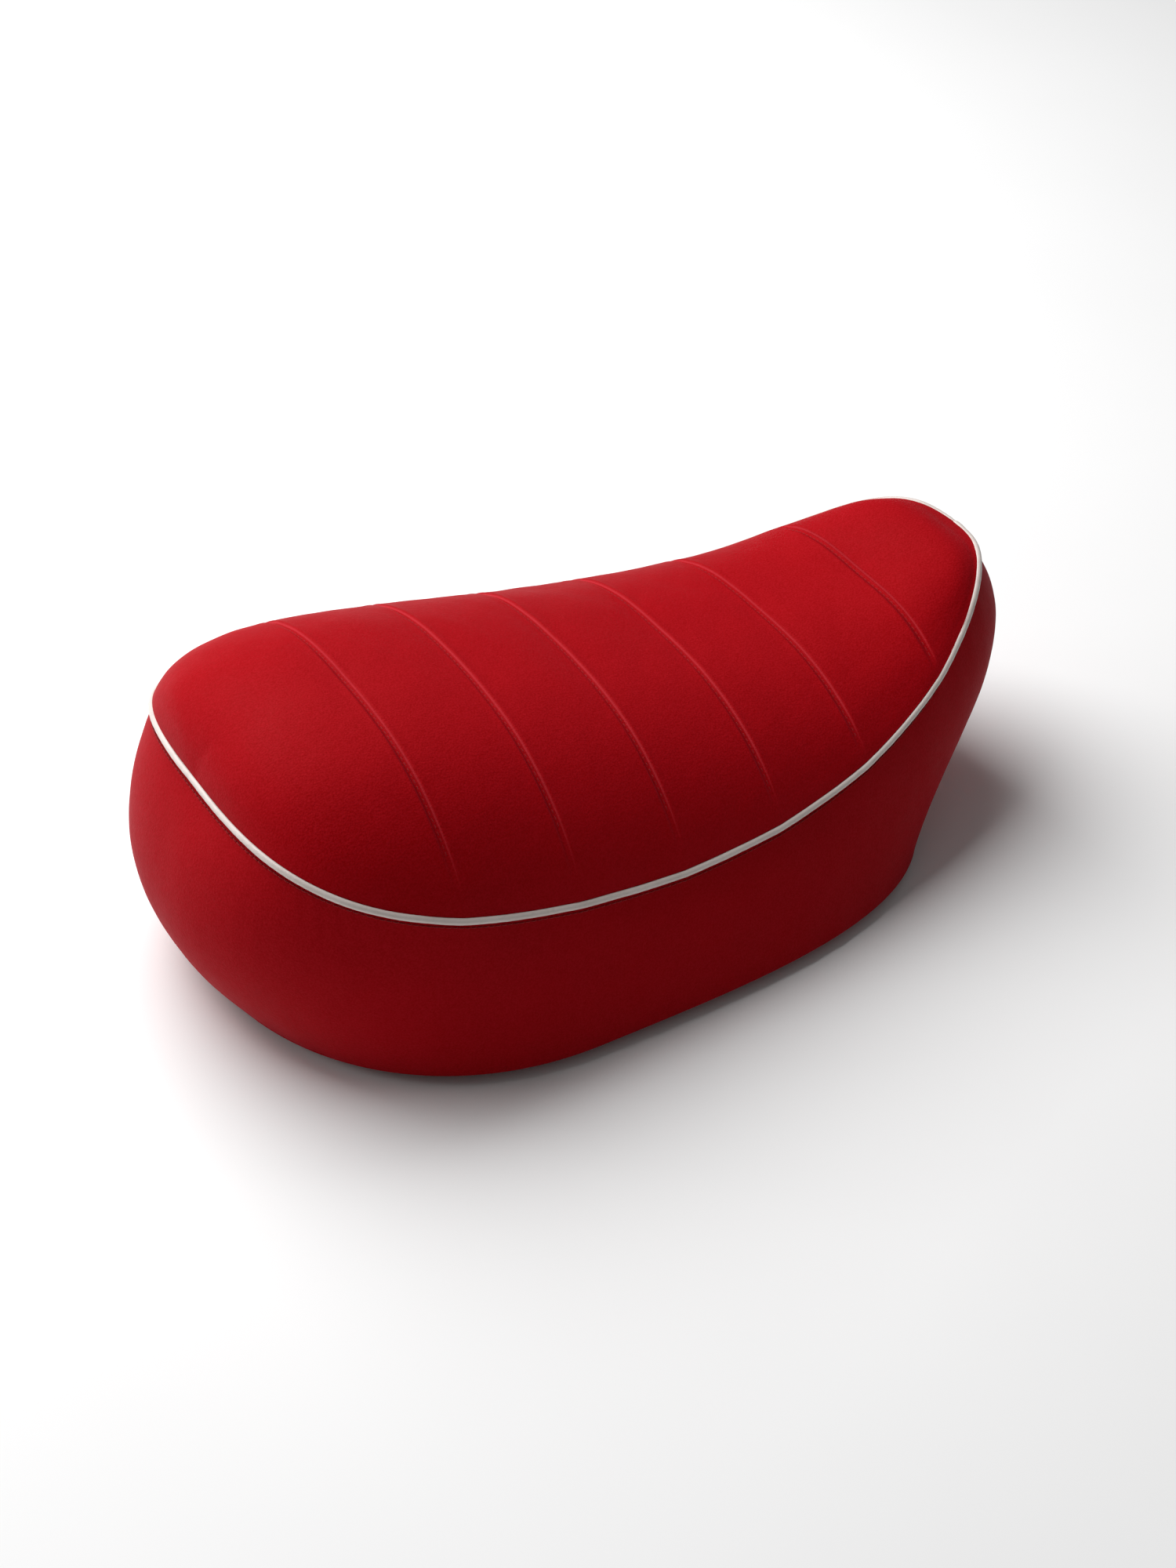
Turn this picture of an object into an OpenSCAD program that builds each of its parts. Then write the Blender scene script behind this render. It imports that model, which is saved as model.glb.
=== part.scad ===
// Hinged bench saddle for a small scooter, millimetres.
// +X points to the nose, +Y to the rider's left, +Z up; z = 0 is the plane the saddle rests on.

/* [Saddle] */
// Length inside the piped seam
saddle_l = 560; // [467:1:672]
// Width inside the piped seam
saddle_w = 303; // [253:1:364]
// Height of the piped seam above the hem at its widest station
seam_low = 86; // [72:1:103]
// Extra height of the seam where it climbs to the nose and the tail
seam_rise = 56; // [47:1:67]
// How far the hem stands outside the seam along the sides
hem_flare = 25; // [21:1:30]
// How far the seam overhangs the hem at the tail
tail_overhang = 75; // [62:1:90]
// Height of the hem above the rest plane
ride_gap = 7; // [6:0.5:8.5]

/* [Cushion] */
// Crown height over the seam at the widest station
crown_mid = 71; // [59:1:85]
// How far the nose bulges forward between hem and seam
nose_bulge = 30; // [24:1:36]
// How far the tail bulges back between hem and seam
tail_bulge = 42; // [35:1:50]
// Length of the panel ahead of the first stitched channel
nose_panel = 98; // [82:1:118]
// Length of the panel behind the last stitched channel
tail_panel = 83; // [70:1:100]
// Depth of a stitched channel
channel_depth = 2.5; // [2:0.1:3]
// Thickness of the cover with its felt backing
cover_t = 2.2; // [1.8:0.1:2.6]
// Outside diameter of the piping
piping_d = 4.6; // [3.7:0.1:5.5]

/* [Base pan] */
// Wall thickness of the moulded pan
pan_t = 3; // [2.5:0.1:3.6]
// Depth from the hem up to the underside of the deck
pan_depth = 22; // [20:0.5:26]
// Inset of the pan wall from the hem
pan_inset = 11.5; // [9.6:0.1:13.8]
// Depth of the stiffening ribs under the deck
rib_h = 5; // [4:0.5:6]
// Width of the stapling flange
flange_w = 22; // [18:1:26]

/* [Hinge] */
// Diameter of the hinge pin
pin_d = 6; // [5:0.1:7]
// Setback of the hinge pin from the front of the hem
hinge_setback = 30; // [27:1:36]
// Width of the hinge leaves
leaf_w = 84; // [76:1:96]
// Length of the hinge leaves behind the pin
leaf_l = 56; // [52:1:66]
// Thickness of the hinge leaves
leaf_t = 2.5; // [2:0.1:3]
// Spacing of the leaf bolts across the saddle
bolt_span = 60; // [54:1:66]
// Spacing of the leaf bolts along the saddle
bolt_row = 24; // [20:1:28]

/* [Striker] */
// Diameter of the striker bar
striker_d = 7; // [6:0.1:8.4]
// Clear width between the legs of the striker
striker_gap = 22; // [18:1:26]
// Setback of the striker from the back of the hem
striker_setback = 52; // [42:1:62]

/* [Buffers] */
// Diameter of a rubber buffer
buffer_d = 26; // [21:1:31]
// Diameter of the stem of a buffer
buffer_stem_d = 8; // [6.5:0.1:9.5]

/* [Hidden] */
$fn = 48;
widest_at = 0.318;
seam_front = widest_at * saddle_l;
seam_rear = saddle_l - seam_front;
seam_half = saddle_w / 2;
nose_tuck = -2;
hem_front = seam_front - nose_tuck;
hem_rear = seam_rear - tail_overhang;
hem_half = seam_half + hem_flare;
seam_nose_n = 3.15;
seam_tail_n = 2.07;
hem_nose_n = 2.11;
hem_tail_n = 3.28;
seam_tilt = 7;
seam_twist = 9.6;
seam_flick = 12.4;
seam_kick = 17.5;
seam_kick_n = 5;
seam_tip = 20.2;
seam_tip_n = 20;
crown_lean = 0.72 * crown_mid;
crown_sag = 0.27 * crown_mid;
crown_roll = 0.55 * crown_mid;
crown_flick = 0.32 * crown_mid;
crown_kick = 3.25 * crown_mid;
crown_kick_n = 8.75;
crown_min = 2;
crown_nose_n = 4.05;
crown_nose_m = 0.5;
crown_tail_n = 3.27;
crown_tail_m = 1.58;
section_n = 2.69;
section_tail = 2.16;
section_tail_n = 4;
section_m = 1.43;
tail_p = 1.4;
tail_q = 1.04;
side_bulge = 1;
bulge_n = 4;
tail_bulge_n = 8.5;
inset_n = 8;
channels = 6;
channel_lead = seam_front - nose_panel;
channel_pitch = (channel_lead + seam_rear - tail_panel) / (channels - 1);
gap = 0.2;
foam_gap = 0.8;
run_gap = 0.05;
piping_r = piping_d / 2;
lip_gap = 0.35;
lip = piping_r + lip_gap;
foam_e = max(cover_t, piping_r) + foam_gap;
hem_t = 1.2;
hem_z = ride_gap;
band_z = hem_z + hem_t + gap;
foam_z = band_z + gap;
pan_z = band_z;
deck_z = hem_z + pan_depth;
deck_top = deck_z + pan_t;
deck_room = 1;
// The pan stays inside the foam where the sides of the cover lean in over its deck.
side_lean = hem_flare * (deck_top - band_z) / (hem_z + seam_low - lip - band_z);
pan_e = max(pan_inset, side_lean + foam_e + deck_room);

// The saddle is centred on how far its band reaches at the nose and at the tail.
band_rings = [0, 0.12, 0.3, 0.5, 0.64, 0.76, 0.88, 1];
tip_angle = 4;
// Bulge across the band: even at the nose and the sides, high up at the tail.
function even_bulge(r) = 4 * r * (1 - r);
function high_bulge(r) = pow(r, tail_p) * pow(1 - r, tail_q)
    / (pow(tail_p / (tail_p + tail_q), tail_p) * pow(tail_q / (tail_p + tail_q), tail_q));
function reach(hem, hem_n, seam, seam_n, b, b_n, profile) = max([for (r = band_rings)
    hem * pow(cos(tip_angle), 2 / hem_n) * (1 - r)
    + seam * pow(cos(tip_angle), 2 / seam_n) * r
    + profile(r) * b * pow(cos(tip_angle), b_n + 1)]);
nose_reach = reach(hem_front, hem_nose_n, seam_front, seam_nose_n, nose_bulge, bulge_n,
    function (r) even_bulge(r));
tail_reach = reach(hem_rear, hem_tail_n, seam_rear, seam_tail_n, tail_bulge, tail_bulge_n,
    function (r) high_bulge(r));
split_x = (tail_reach - nose_reach) / 2;

// One point of a closed outline whose nose and tail follow their own roundness.
function oval(a, front, rear, half, nf, nr) =
    let (n = cos(a) > 0 ? nf : nr)
    let (l = cos(a) > 0 ? front : rear)
    [split_x + sign(cos(a)) * l * pow(abs(cos(a)), 2 / n),
     sign(sin(a)) * half * pow(abs(sin(a)), 2 / n)];
function seam_pt(a, e) =
    oval(a, seam_front - e, seam_rear - e, seam_half - e, seam_nose_n, seam_tail_n);
function hem_pt(a, e) =
    oval(a, hem_front - e, hem_rear - e, hem_half - e, hem_nose_n, hem_tail_n);
function seam_normal(a) =
    let (n = cos(a) > 0 ? seam_nose_n : seam_tail_n)
    let (l = cos(a) > 0 ? seam_front : seam_rear)
    let (v = [sign(cos(a)) * pow(abs(cos(a)), 2 - 2 / n) / l,
              sign(sin(a)) * pow(abs(sin(a)), 2 - 2 / n) / seam_half])
    v / norm(v);

// Place along the saddle from -1 at the tail to 1 at the nose.
function place(a) =
    2 * (seam_pt(a, 0)[0] - split_x + seam_rear) / (seam_front + seam_rear) - 1;
function seam_z(a) =
    let (u = place(a))
    hem_z + seam_low + seam_tilt * u + seam_rise * u * u
    - seam_twist * pow(u, 3) + seam_flick * pow(u, 4)
    + seam_kick * pow(max(0, -u), seam_kick_n) - seam_tip * pow(max(0, -u), seam_tip_n);
function crown(a) =
    let (u = place(a))
    let (h = crown_mid + crown_lean * u - crown_sag * u * u
        - crown_roll * pow(u, 3) + crown_flick * pow(u, 4)
        + crown_kick * pow(max(0, -u), crown_kick_n))
    max(crown_min, h * pow(max(0, 1 - pow(abs(u), u > 0 ? crown_nose_n : crown_tail_n)),
        u > 0 ? crown_nose_m : crown_tail_m));
// The section across is boxier towards the tail.
function section(a, v) =
    let (n = section_n + section_tail * pow(max(0, -place(a)), section_tail_n))
    pow(max(0, 1 - pow(abs(v), n)), 1 / section_m);

// The channels, the stations around the rim and the rows across the top.
function channel_x(i) = channel_lead - i * channel_pitch;
function rim_angle(x) =
    x > 0 ? acos(pow(x / seam_front, seam_nose_n / 2))
          : 180 - acos(pow(-x / seam_rear, seam_tail_n / 2));
groove_w = 3;
groove_n = 8;
channel_angles = [for (i = [0:channels - 1]) rim_angle(channel_x(i))];
nose_start = rim_angle(channel_x(0) + groove_w);
tail_start = rim_angle(channel_x(channels - 1) - groove_w);
nose_steps = 6;
nose_spread = 1.2;
tail_steps = 6;
nose_angles = [for (i = [0:nose_steps - 1])
    tip_angle + (nose_start - tip_angle) * pow(i / nose_steps, nose_spread)];
tail_angles = [for (i = [1:tail_steps])
    tail_start + (180 - tip_angle - tail_start) * i / tail_steps];
mid_angles = [for (i = [0:channels - 1]) each concat(
    [for (x = [groove_w, 0, -groove_w]) rim_angle(channel_x(i) + x)],
    i < channels - 1
        ? [for (k = [1, 2]) rim_angle(channel_x(i) - channel_pitch * k / 3)]
        : [])];
side_angles = concat(nose_angles, mid_angles, tail_angles);
stations = len(side_angles);
rim_angles = concat(side_angles, [for (i = [stations - 1:-1:0]) -side_angles[i]]);
rim_count = len(rim_angles);
rows = 16;

function is_channel(a) = len([for (c = channel_angles) if (abs(c - a) < 0.001) c]) > 0;
function groove(a, v) = is_channel(a) ? channel_depth * (1 - pow(abs(v), groove_n)) : 0;
function row_v(j) = sin(180 * j / rows - 90);

// Upper surface at a station and a row, moved inward by e.
function top_pt(a, v, e) =
    let (p = [seam_pt(a, 0)[0] - sign(cos(a)) * e * pow(abs(cos(a)), inset_n), seam_pt(a, e)[1]])
    let (c = crown(a) * section(a, v))
    let (h = c * (1 - e / (c + 2 * e + 0.01)) - groove(a, v))
    [p[0], p[1] * v, seam_z(a) + sqrt(lip * lip + pow(max(0, h), 2))];

// Side band at a rim angle and a fraction of its height, moved inward by e.
function bulge(a, r) =
    even_bulge(r) * side_bulge * pow(sin(a), bulge_n)
    + (cos(a) > 0 ? even_bulge(r) * nose_bulge * pow(cos(a), bulge_n)
                  : high_bulge(r) * tail_bulge * pow(-cos(a), tail_bulge_n));
function band_pt(a, r, e, z0) =
    let (h = hem_pt(a, e))
    let (s = seam_pt(a, e))
    let (p = h * (1 - r) + s * r + bulge(a, r) * [cos(a), sin(a)])
    [p[0], p[1], z0 + (seam_z(a) - lip - z0) * r];

// Faces between closed loops of points that follow one another in a list.
function loop_faces(loops, n) = [for (k = [0:loops - 2]) for (i = [0:n - 1])
    let (a = k * n + i)
    let (b = k * n + (i + 1) % n)
    each [[a, b, b + n], [a, b + n, a + n]]];
function flipped(faces) = [for (f = faces) [for (i = [len(f) - 1:-1:0]) f[i]]];
function shifted(faces, s) = [for (f = faces) [for (i = f) i + s]];

// Index of a rim point inside a grid of stations and rows.
function grid_rim(i) =
    i < stations ? i * (rows + 1) + rows : (rim_count - 1 - i) * (rows + 1);
function top_grid(e) =
    [for (a = side_angles) for (j = [0:rows]) top_pt(a, row_v(j), e)];
grid_count = stations * (rows + 1);
grid_faces = concat(
    [for (i = [0:stations - 2]) for (j = [0:rows - 1])
        let (p = i * (rows + 1) + j)
        each [[p, p + 1, p + rows + 2], [p, p + rows + 2, p + rows + 1]]],
    [[for (j = [rows:-1:0]) j]],
    [[for (j = [0:rows]) (stations - 1) * (rows + 1) + j]]);

// A cord of radius r along a list of [centre, side normal].
function cord_ring(c, n, t, r, k) =
    let (b = cross(t, n))
    [for (i = [0:k - 1]) c + r * (n * cos(360 * i / k) + b * sin(360 * i / k) / norm(b))];
function unit(v) = v / norm(v);
function cord_points(path, r, k) = [for (i = [0:len(path) - 1])
    let (p = path[max(0, i - 1)][0])
    let (q = path[min(len(path) - 1, i + 1)][0])
    each cord_ring(path[i][0], path[i][1], unit(q - p), r, k)];
function cord_caps(n, k) =
    [[for (i = [k - 1:-1:0]) i], [for (i = [0:k - 1]) (n - 1) * k + i]];

module cord(path, r, k) {
    n = len(path);
    polyhedron(points = cord_points(path, r, k),
        faces = flipped(concat(flipped(cord_caps(n, k)), loop_faces(n, k))));
}

// The rim path starts and ends beside the middle of the tail.
function rim_path(f, y) = concat(
    [[f(180 - tip_angle, -y), [-1, 0, 0]]],
    [for (i = [stations:rim_count - 1]) rim_station(f, rim_angles[i])],
    [for (i = [0:stations - 1]) rim_station(f, rim_angles[i])],
    [[f(180 - tip_angle, y), [-1, 0, 0]]]);
function rim_station(f, a) = let (n = seam_normal(a)) [f(a, 0), [n[0], n[1], 0]];
function at_y(p, y) = y == 0 ? p : [p[0], y, p[2]];

module plan(e) {
    polygon([for (a = rim_angles) hem_pt(a, e)]);
}

module slab(e, z0, z1) {
    translate([0, 0, z0])
        linear_extrude(z1 - z0)
            plan(e);
}

module ring_slab(e0, e1, z0, z1) {
    translate([0, 0, z0])
        linear_extrude(z1 - z0)
            difference() {
                plan(e0);
                plan(e1);
            }
}

module along_y(x, z, y0, y1, d) {
    translate([x, y0, z])
        rotate([-90, 0, 0])
            cylinder(d = d, h = y1 - y0);
}

// Hinge, striker and buffer places follow the hem.
hem_nose_x = split_x + hem_front;
hem_tail_x = split_x - hem_rear;
pin_x = hem_nose_x - hinge_setback;
pin_z = 9.5;
knuckle_d = pin_d + 6;
leaf_gap = 0.5;
notch_side = 3;
notch_end = 4;
notch_lug = 2;
bush_d = pin_d + 2;
pin_tail = 4;
pin_head_t = 2.5;
pin_head_d = pin_d + 4;
clip_d = pin_d + 5;
seat_knuckle = 15;
lug_in = 17;
lug_out = 29;
leaf_z = pin_z + knuckle_d / 2 + leaf_gap;
boss_z = leaf_z + leaf_t;
bolt_back = 20;
bolt_x = pin_x - bolt_back;
bolt_d = 6;
bolt_hole = 6.6;
bolt_af = 10;
head_h = 4;
washer_d = 12;
washer_t = 1.6;
nut_h = 5;
boss_d = 19;
bolt_places = [for (i = [0, 1]) for (s = [-1, 1])
    [bolt_x - i * bolt_row, s * bolt_span / 2]];
frame_span = 32;
access_d = 14;
frame_places = [for (i = [0, 1]) for (s = [-1, 1])
    [bolt_x - i * bolt_row, s * frame_span / 2]];
striker_x = hem_tail_x + striker_setback;
plate_drop = 9;
plate_z = deck_z - plate_drop;
plate_t = 3;
plate_ears = 36;
plate_l = 2 * striker_gap + plate_ears;
plate_w = 26;
striker_leg = striker_gap / 2 + striker_d / 2;
striker_lift = 1.5;
striker_z = striker_d / 2 + striker_lift;
striker_ear = 9;
striker_bolts_y = striker_leg + striker_d / 2 + striker_ear;
striker_places = [for (s = [-1, 1]) [striker_x, s * striker_bolts_y]];
rib_t = 2.5;
socket_drop = 12;
socket_z = deck_z - socket_drop;
stem_h = 9;
// Buffers stand in the field inside the stapling flange.
field_e = pan_e + flange_w;
buffer_shares = [[0.516, 0.617], [-0.337, 0.815], [-0.84, 0.62]];
buffer_places = [for (s = buffer_shares)
    [split_x + s[0] * ((s[0] > 0 ? hem_front : hem_rear) - field_e), s[1] * (hem_half - field_e)]];
rib_near = 0.3;
rib_far = 0.56;
rib_reach = 0.62;
rib_stations = [0, 0.25, 0.5, 0.75, 1];
vent_d = 14;
vent_stations = [0.125, 0.375, 0.625, 0.875];

module hex_bolt(z, length) {
    translate([0, 0, z - head_h])
        cylinder(d = bolt_af / cos(30), h = head_h, $fn = 6);
    translate([0, 0, z])
        cylinder(d = bolt_d, h = length);
}

module hinge_frame_leaf() {
    color("silver")
        difference() {
            union() {
                translate([pin_x - leaf_l, -leaf_w / 2, 0])
                    cube([leaf_l, leaf_w, leaf_t]);
                for (s = [-1, 1])
                    translate([0, s * (lug_in + lug_out) / 2, 0])
                        frame_lug();
            }
            along_y(pin_x, pin_z, -lug_out - 1, lug_out + 1, pin_d + gap);
            for (p = frame_places)
                translate([p[0], p[1], -1])
                    cylinder(d = bolt_hole, h = leaf_t + 2);
        }
}

module frame_lug() {
    w = lug_out - lug_in;
    along_y(pin_x, pin_z, -w / 2, w / 2, knuckle_d);
    translate([pin_x - knuckle_d / 2, -w / 2, 0])
        cube([knuckle_d, w, pin_z]);
}

module hinge_pin() {
    color("gainsboro")
        difference() {
            union() {
                along_y(pin_x, pin_z, -lug_out - pin_tail, lug_out + gap, pin_d);
                along_y(pin_x, pin_z, lug_out + gap, lug_out + gap + pin_head_t, pin_head_d);
            }
            difference() {
                along_y(pin_x, pin_z, -lug_out - 1.5, -lug_out - 0.5, pin_d + 1);
                along_y(pin_x, pin_z, -lug_out - 2, lug_out, pin_d - 1.6);
            }
        }
}

module hinge_clip() {
    color("dimgray")
        difference() {
            along_y(pin_x, pin_z, -lug_out - 1.4, -lug_out - 0.6, clip_d);
            along_y(pin_x, pin_z, -lug_out - 2, -lug_out, pin_d - 1.3);
            translate([pin_x - pin_d * 0.3, -lug_out - 2, pin_z - pin_d - 3])
                cube([pin_d * 0.6, 2, pin_d + 3]);
        }
}

module hinge_seat_leaf() {
    web_x = pin_x - knuckle_d / 2;
    color("silver")
        difference() {
            union() {
                translate([pin_x - leaf_l, -leaf_w / 2, leaf_z])
                    cube([leaf_l, leaf_w, leaf_t]);
                along_y(pin_x, pin_z, -seat_knuckle, seat_knuckle, knuckle_d);
                translate([web_x, -seat_knuckle, pin_z])
                    cube([leaf_t + 1.5, 2 * seat_knuckle, leaf_z - pin_z + 1]);
                for (s = [-1, 1])
                    translate([pin_x - 15, s * (seat_knuckle - 2) - 1.25, pin_z + 2])
                        cube([15, 2.5, leaf_z - pin_z - 1]);
            }
            along_y(pin_x, pin_z, -seat_knuckle - 1, seat_knuckle + 1, bush_d + gap);
            for (p = bolt_places)
                translate([p[0], p[1], leaf_z - 1])
                    cylinder(d = bolt_hole, h = leaf_t + 2);
            for (p = frame_places)
                translate([p[0], p[1], leaf_z - 1])
                    cylinder(d = access_d, h = leaf_t + 2);
        }
}

module hinge_bush(side) {
    color("ivory")
        on_side(side)
            difference() {
                union() {
                    along_y(pin_x, pin_z, 0.5, seat_knuckle + gap, bush_d);
                    along_y(pin_x, pin_z, seat_knuckle + gap, lug_in - 0.4, bush_d + 3);
                }
                along_y(pin_x, pin_z, 0, lug_in, pin_d + 2 * run_gap);
            }
}

// Children as drawn for the left side, or mirrored to the right.
module on_side(side) {
    if (side > 0)
        children();
    else
        mirror([0, 1, 0])
            children();
}

module hinge_bolts() {
    color("gainsboro")
        for (p = bolt_places)
            translate([p[0], p[1], 0])
                hex_bolt(leaf_z - washer_t, deck_top - leaf_z + washer_t);
}

module hinge_washers() {
    color("gainsboro")
        for (p = bolt_places)
            translate([p[0], p[1], leaf_z - washer_t])
                difference() {
                    cylinder(d = washer_d, h = washer_t);
                    translate([0, 0, -1])
                        cylinder(d = bolt_hole, h = washer_t + 2);
                }
}

module captive_nuts(places) {
    color("gainsboro")
        for (p = places)
            translate([p[0], p[1], deck_top - nut_h])
                difference() {
                    cylinder(d = bolt_af / cos(30), h = nut_h, $fn = 6);
                    translate([0, 0, -1])
                        cylinder(d = bolt_d + gap, h = nut_h + 2);
                }
}

module striker_bar() {
    bend_r = striker_d * 0.75;
    bend_z = striker_z + bend_r;
    color("gainsboro")
        union() {
            along_y(striker_x, striker_z, bend_r - striker_leg, striker_leg - bend_r, striker_d);
            for (s = [-1, 1])
                translate([striker_x, s * striker_leg, bend_z])
                    cylinder(d = striker_d, h = plate_z - gap - bend_z);
            for (s = [-1, 1])
                translate([striker_x, s * (striker_leg - bend_r), bend_z])
                    rotate([0, 90, 0])
                        rotate([0, 0, s > 0 ? 0 : -90])
                            rotate_extrude(angle = 90)
                                translate([bend_r, 0])
                                    circle(d = striker_d);
        }
}

module striker_plate() {
    color("silver")
        difference() {
            translate([striker_x - plate_w / 2, -plate_l / 2, plate_z])
                cube([plate_w, plate_l, plate_t]);
            for (p = striker_places)
                translate([p[0], p[1], plate_z - 1])
                    cylinder(d = bolt_hole, h = plate_t + 2);
        }
}

module striker_bolts() {
    color("gainsboro")
        for (p = striker_places)
            translate([p[0], p[1], 0])
                hex_bolt(plate_z, deck_top - plate_z);
}

// Base pan: deck, wall, stapling flange, ribs, bosses and buffer sockets.
module pan_boss(p, d, z) {
    translate([p[0], p[1], z])
        cylinder(d = d, h = deck_z - z + 1);
}

module rib_x(y, x0, x1) {
    translate([x0, y - rib_t / 2, deck_z - rib_h])
        cube([x1 - x0, rib_t, rib_h + 1]);
}

module rib_y(x, y0, y1) {
    translate([x - rib_t / 2, y0, deck_z - rib_h])
        cube([rib_t, y1 - y0, rib_h + 1]);
}

module pan_ribs() {
    rib_front = bolt_x - bolt_row - boss_d;
    rib_rear = striker_x + plate_w;
    for (s = [-1, 1])
        rib_x(s * rib_near * hem_half, rib_rear, rib_front);
    for (s = [-1, 1])
        rib_x(s * rib_far * hem_half, split_x - rib_reach * hem_rear, rib_front);
    for (t = rib_stations)
        rib_y(rib_rear + t * (rib_front - rib_rear), -rib_far * hem_half, rib_far * hem_half);
}

// Room for the leaves, and for the lugs as the nose swings down past them.
module hinge_notch(z0, z1) {
    side = leaf_w / 2 + notch_side;
    rear = leaf_l + notch_end;
    lug_side = lug_out + notch_lug;
    translate([pin_x - rear, -side, z0])
        cube([rear + knuckle_d / 2 + notch_end, 2 * side, z1 - z0]);
    translate([pin_x, -lug_side, z0])
        cube([norm([knuckle_d / 2, pin_z]) + notch_lug, 2 * lug_side, z1 - z0]);
}

module base_pan() {
    color("dimgray")
        difference() {
            union() {
                difference() {
                    union() {
                        slab(pan_e, deck_z, deck_top);
                        ring_slab(pan_e, pan_e + pan_t, pan_z, deck_z + 1);
                        ring_slab(pan_e, pan_e + flange_w, pan_z, pan_z + pan_t);
                        pan_ribs();
                    }
                    hinge_notch(pan_z - 1, deck_z);
                }
                for (p = bolt_places)
                    pan_boss(p, boss_d, boss_z);
                for (p = striker_places)
                    pan_boss(p, boss_d, plate_z + plate_t);
                for (p = buffer_places)
                    for (s = [-1, 1])
                        pan_boss([p[0], s * p[1]], buffer_d - 4, socket_z);
            }
            for (p = concat(bolt_places, striker_places))
                translate([p[0], p[1], 0])
                    cylinder(d = bolt_hole, h = deck_top + 1);
            for (p = concat(bolt_places, striker_places))
                translate([p[0], p[1], deck_top - nut_h - gap])
                    cylinder(d = (bolt_af + 2 * gap) / cos(30), h = nut_h + 1, $fn = 6);
            for (p = buffer_places)
                for (s = [-1, 1])
                    translate([p[0], s * p[1], socket_z - 1])
                        cylinder(d = buffer_stem_d + 2 * gap, h = stem_h + 1 + gap);
            for (t = vent_stations)
                translate([vent_x(t), 0, deck_z - 1])
                    cylinder(d = vent_d, h = pan_t + 2);
        }
}

function vent_x(t) =
    striker_x + plate_w + t * (bolt_x - bolt_row - boss_d - striker_x - plate_w);

module buffer(p) {
    color("#202020")
        translate([p[0], p[1], 0])
            union() {
                cylinder(d1 = buffer_d - 4, d2 = buffer_d, h = 3);
                translate([0, 0, 3])
                    cylinder(d = buffer_d, h = socket_z - gap - 3);
                cylinder(d = buffer_stem_d, h = socket_z + stem_h - gap);
            }
}

module buffer_at(i, s) {
    buffer([buffer_places[i][0], s * buffer_places[i][1]]);
}

module foam_core() {
    bands = [for (i = [len(band_rings) - 1:-1:0]) band_rings[i]];
    inner = pan_e - foam_gap;
    points = concat(
        top_grid(foam_e),
        [for (r = bands) for (a = rim_angles) band_pt(a, r, foam_e, foam_z)],
        [for (a = rim_angles) let (p = hem_pt(a, inner)) [p[0], p[1], foam_z]],
        [for (a = rim_angles) let (p = hem_pt(a, inner)) [p[0], p[1], deck_top + gap]]);
    loops = len(bands) + 2;
    last = grid_count + (loops - 1) * rim_count;
    faces = concat(
        grid_faces,
        [for (i = [0:rim_count - 1])
            let (k = (i + 1) % rim_count)
            each [[grid_rim(i), grid_count + i, grid_count + k],
                  [grid_rim(i), grid_count + k, grid_rim(k)]]],
        flipped(shifted(loop_faces(loops, rim_count), grid_count)),
        [[for (i = [rim_count - 1:-1:0]) last + i]]);
    color("khaki")
        polyhedron(points = points, faces = flipped(faces));
}

module cover_top() {
    points = concat(top_grid(0), top_grid(cover_t));
    rim = [for (i = [0:rim_count - 1])
        let (k = (i + 1) % rim_count)
        each [[grid_rim(i), grid_rim(i) + grid_count, grid_rim(k) + grid_count],
              [grid_rim(i), grid_rim(k) + grid_count, grid_rim(k)]]];
    color("firebrick")
        polyhedron(points = points,
            faces = flipped(concat(grid_faces, flipped(shifted(grid_faces, grid_count)), rim)));
}

module cover_side() {
    n = len(band_rings);
    points = concat(
        [for (r = band_rings) for (a = rim_angles) band_pt(a, r, 0, band_z)],
        [for (i = [n - 1:-1:0]) for (a = rim_angles)
            band_pt(a, band_rings[i], cover_t, band_z)]);
    close = [for (i = [0:rim_count - 1])
        let (k = (i + 1) % rim_count)
        let (b = (2 * n - 1) * rim_count)
        each [[b + i, b + k, k], [b + i, k, i]]];
    color("darkred")
        polyhedron(points = points, faces = flipped(concat(loop_faces(2 * n, rim_count), close)));
}

module cover_hem() {
    color("maroon")
        difference() {
            ring_slab(gap, pan_e + flange_w - 2, hem_z, hem_z + hem_t);
            hinge_notch(hem_z - 1, hem_z + hem_t + 1);
        }
}

module piping() {
    path = rim_path(function (a, y) let (p = seam_pt(a, 0)) at_y([p[0], p[1], seam_z(a)], y), 0.3);
    color("lightgray")
        cord(path, piping_r, 10);
}

module seam_thread() {
    path = rim_path(function (a, y) at_y(thread_pt(a), y), 0.5);
    color("darkred")
        cord(path, thread_r, thread_sides);
}

thread_r = 0.35;
thread_sides = 5;
thread_drop = 2;
thread_out = 0.75;
function thread_pt(a) =
    let (r0 = band_rings[len(band_rings) - 2])
    let (t = 1 - thread_drop / ((seam_z(a) - lip - band_z) * (1 - r0)))
    let (n = seam_normal(a))
    band_pt(a, r0, 0, band_z) * (1 - t) + band_pt(a, 1, 0, band_z) * t
    + thread_out * [n[0], n[1], 0];

thread_lift = 0.8;
module channel_threads() {
    color("darkred")
        for (a = channel_angles)
            cord([for (j = [2:rows - 2])
                [top_pt(a, row_v(j), 0) + [0, 0, thread_lift], [1, 0, 0]]], thread_r, thread_sides);
}

// Staples along the flange; their legs go through the folded cover into the pan.
staple_l = 9;
staple_t = 0.6;
staple_leg = 5;
staple_step = 2;
function staple_angles() = [for (i = [1:staple_step:rim_count - 1])
    let (p = hem_pt(rim_angles[i], 0))
    if (abs(p[1]) > leaf_w / 2 + 14 || p[0] < pin_x - leaf_l - 20) rim_angles[i]];

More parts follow.
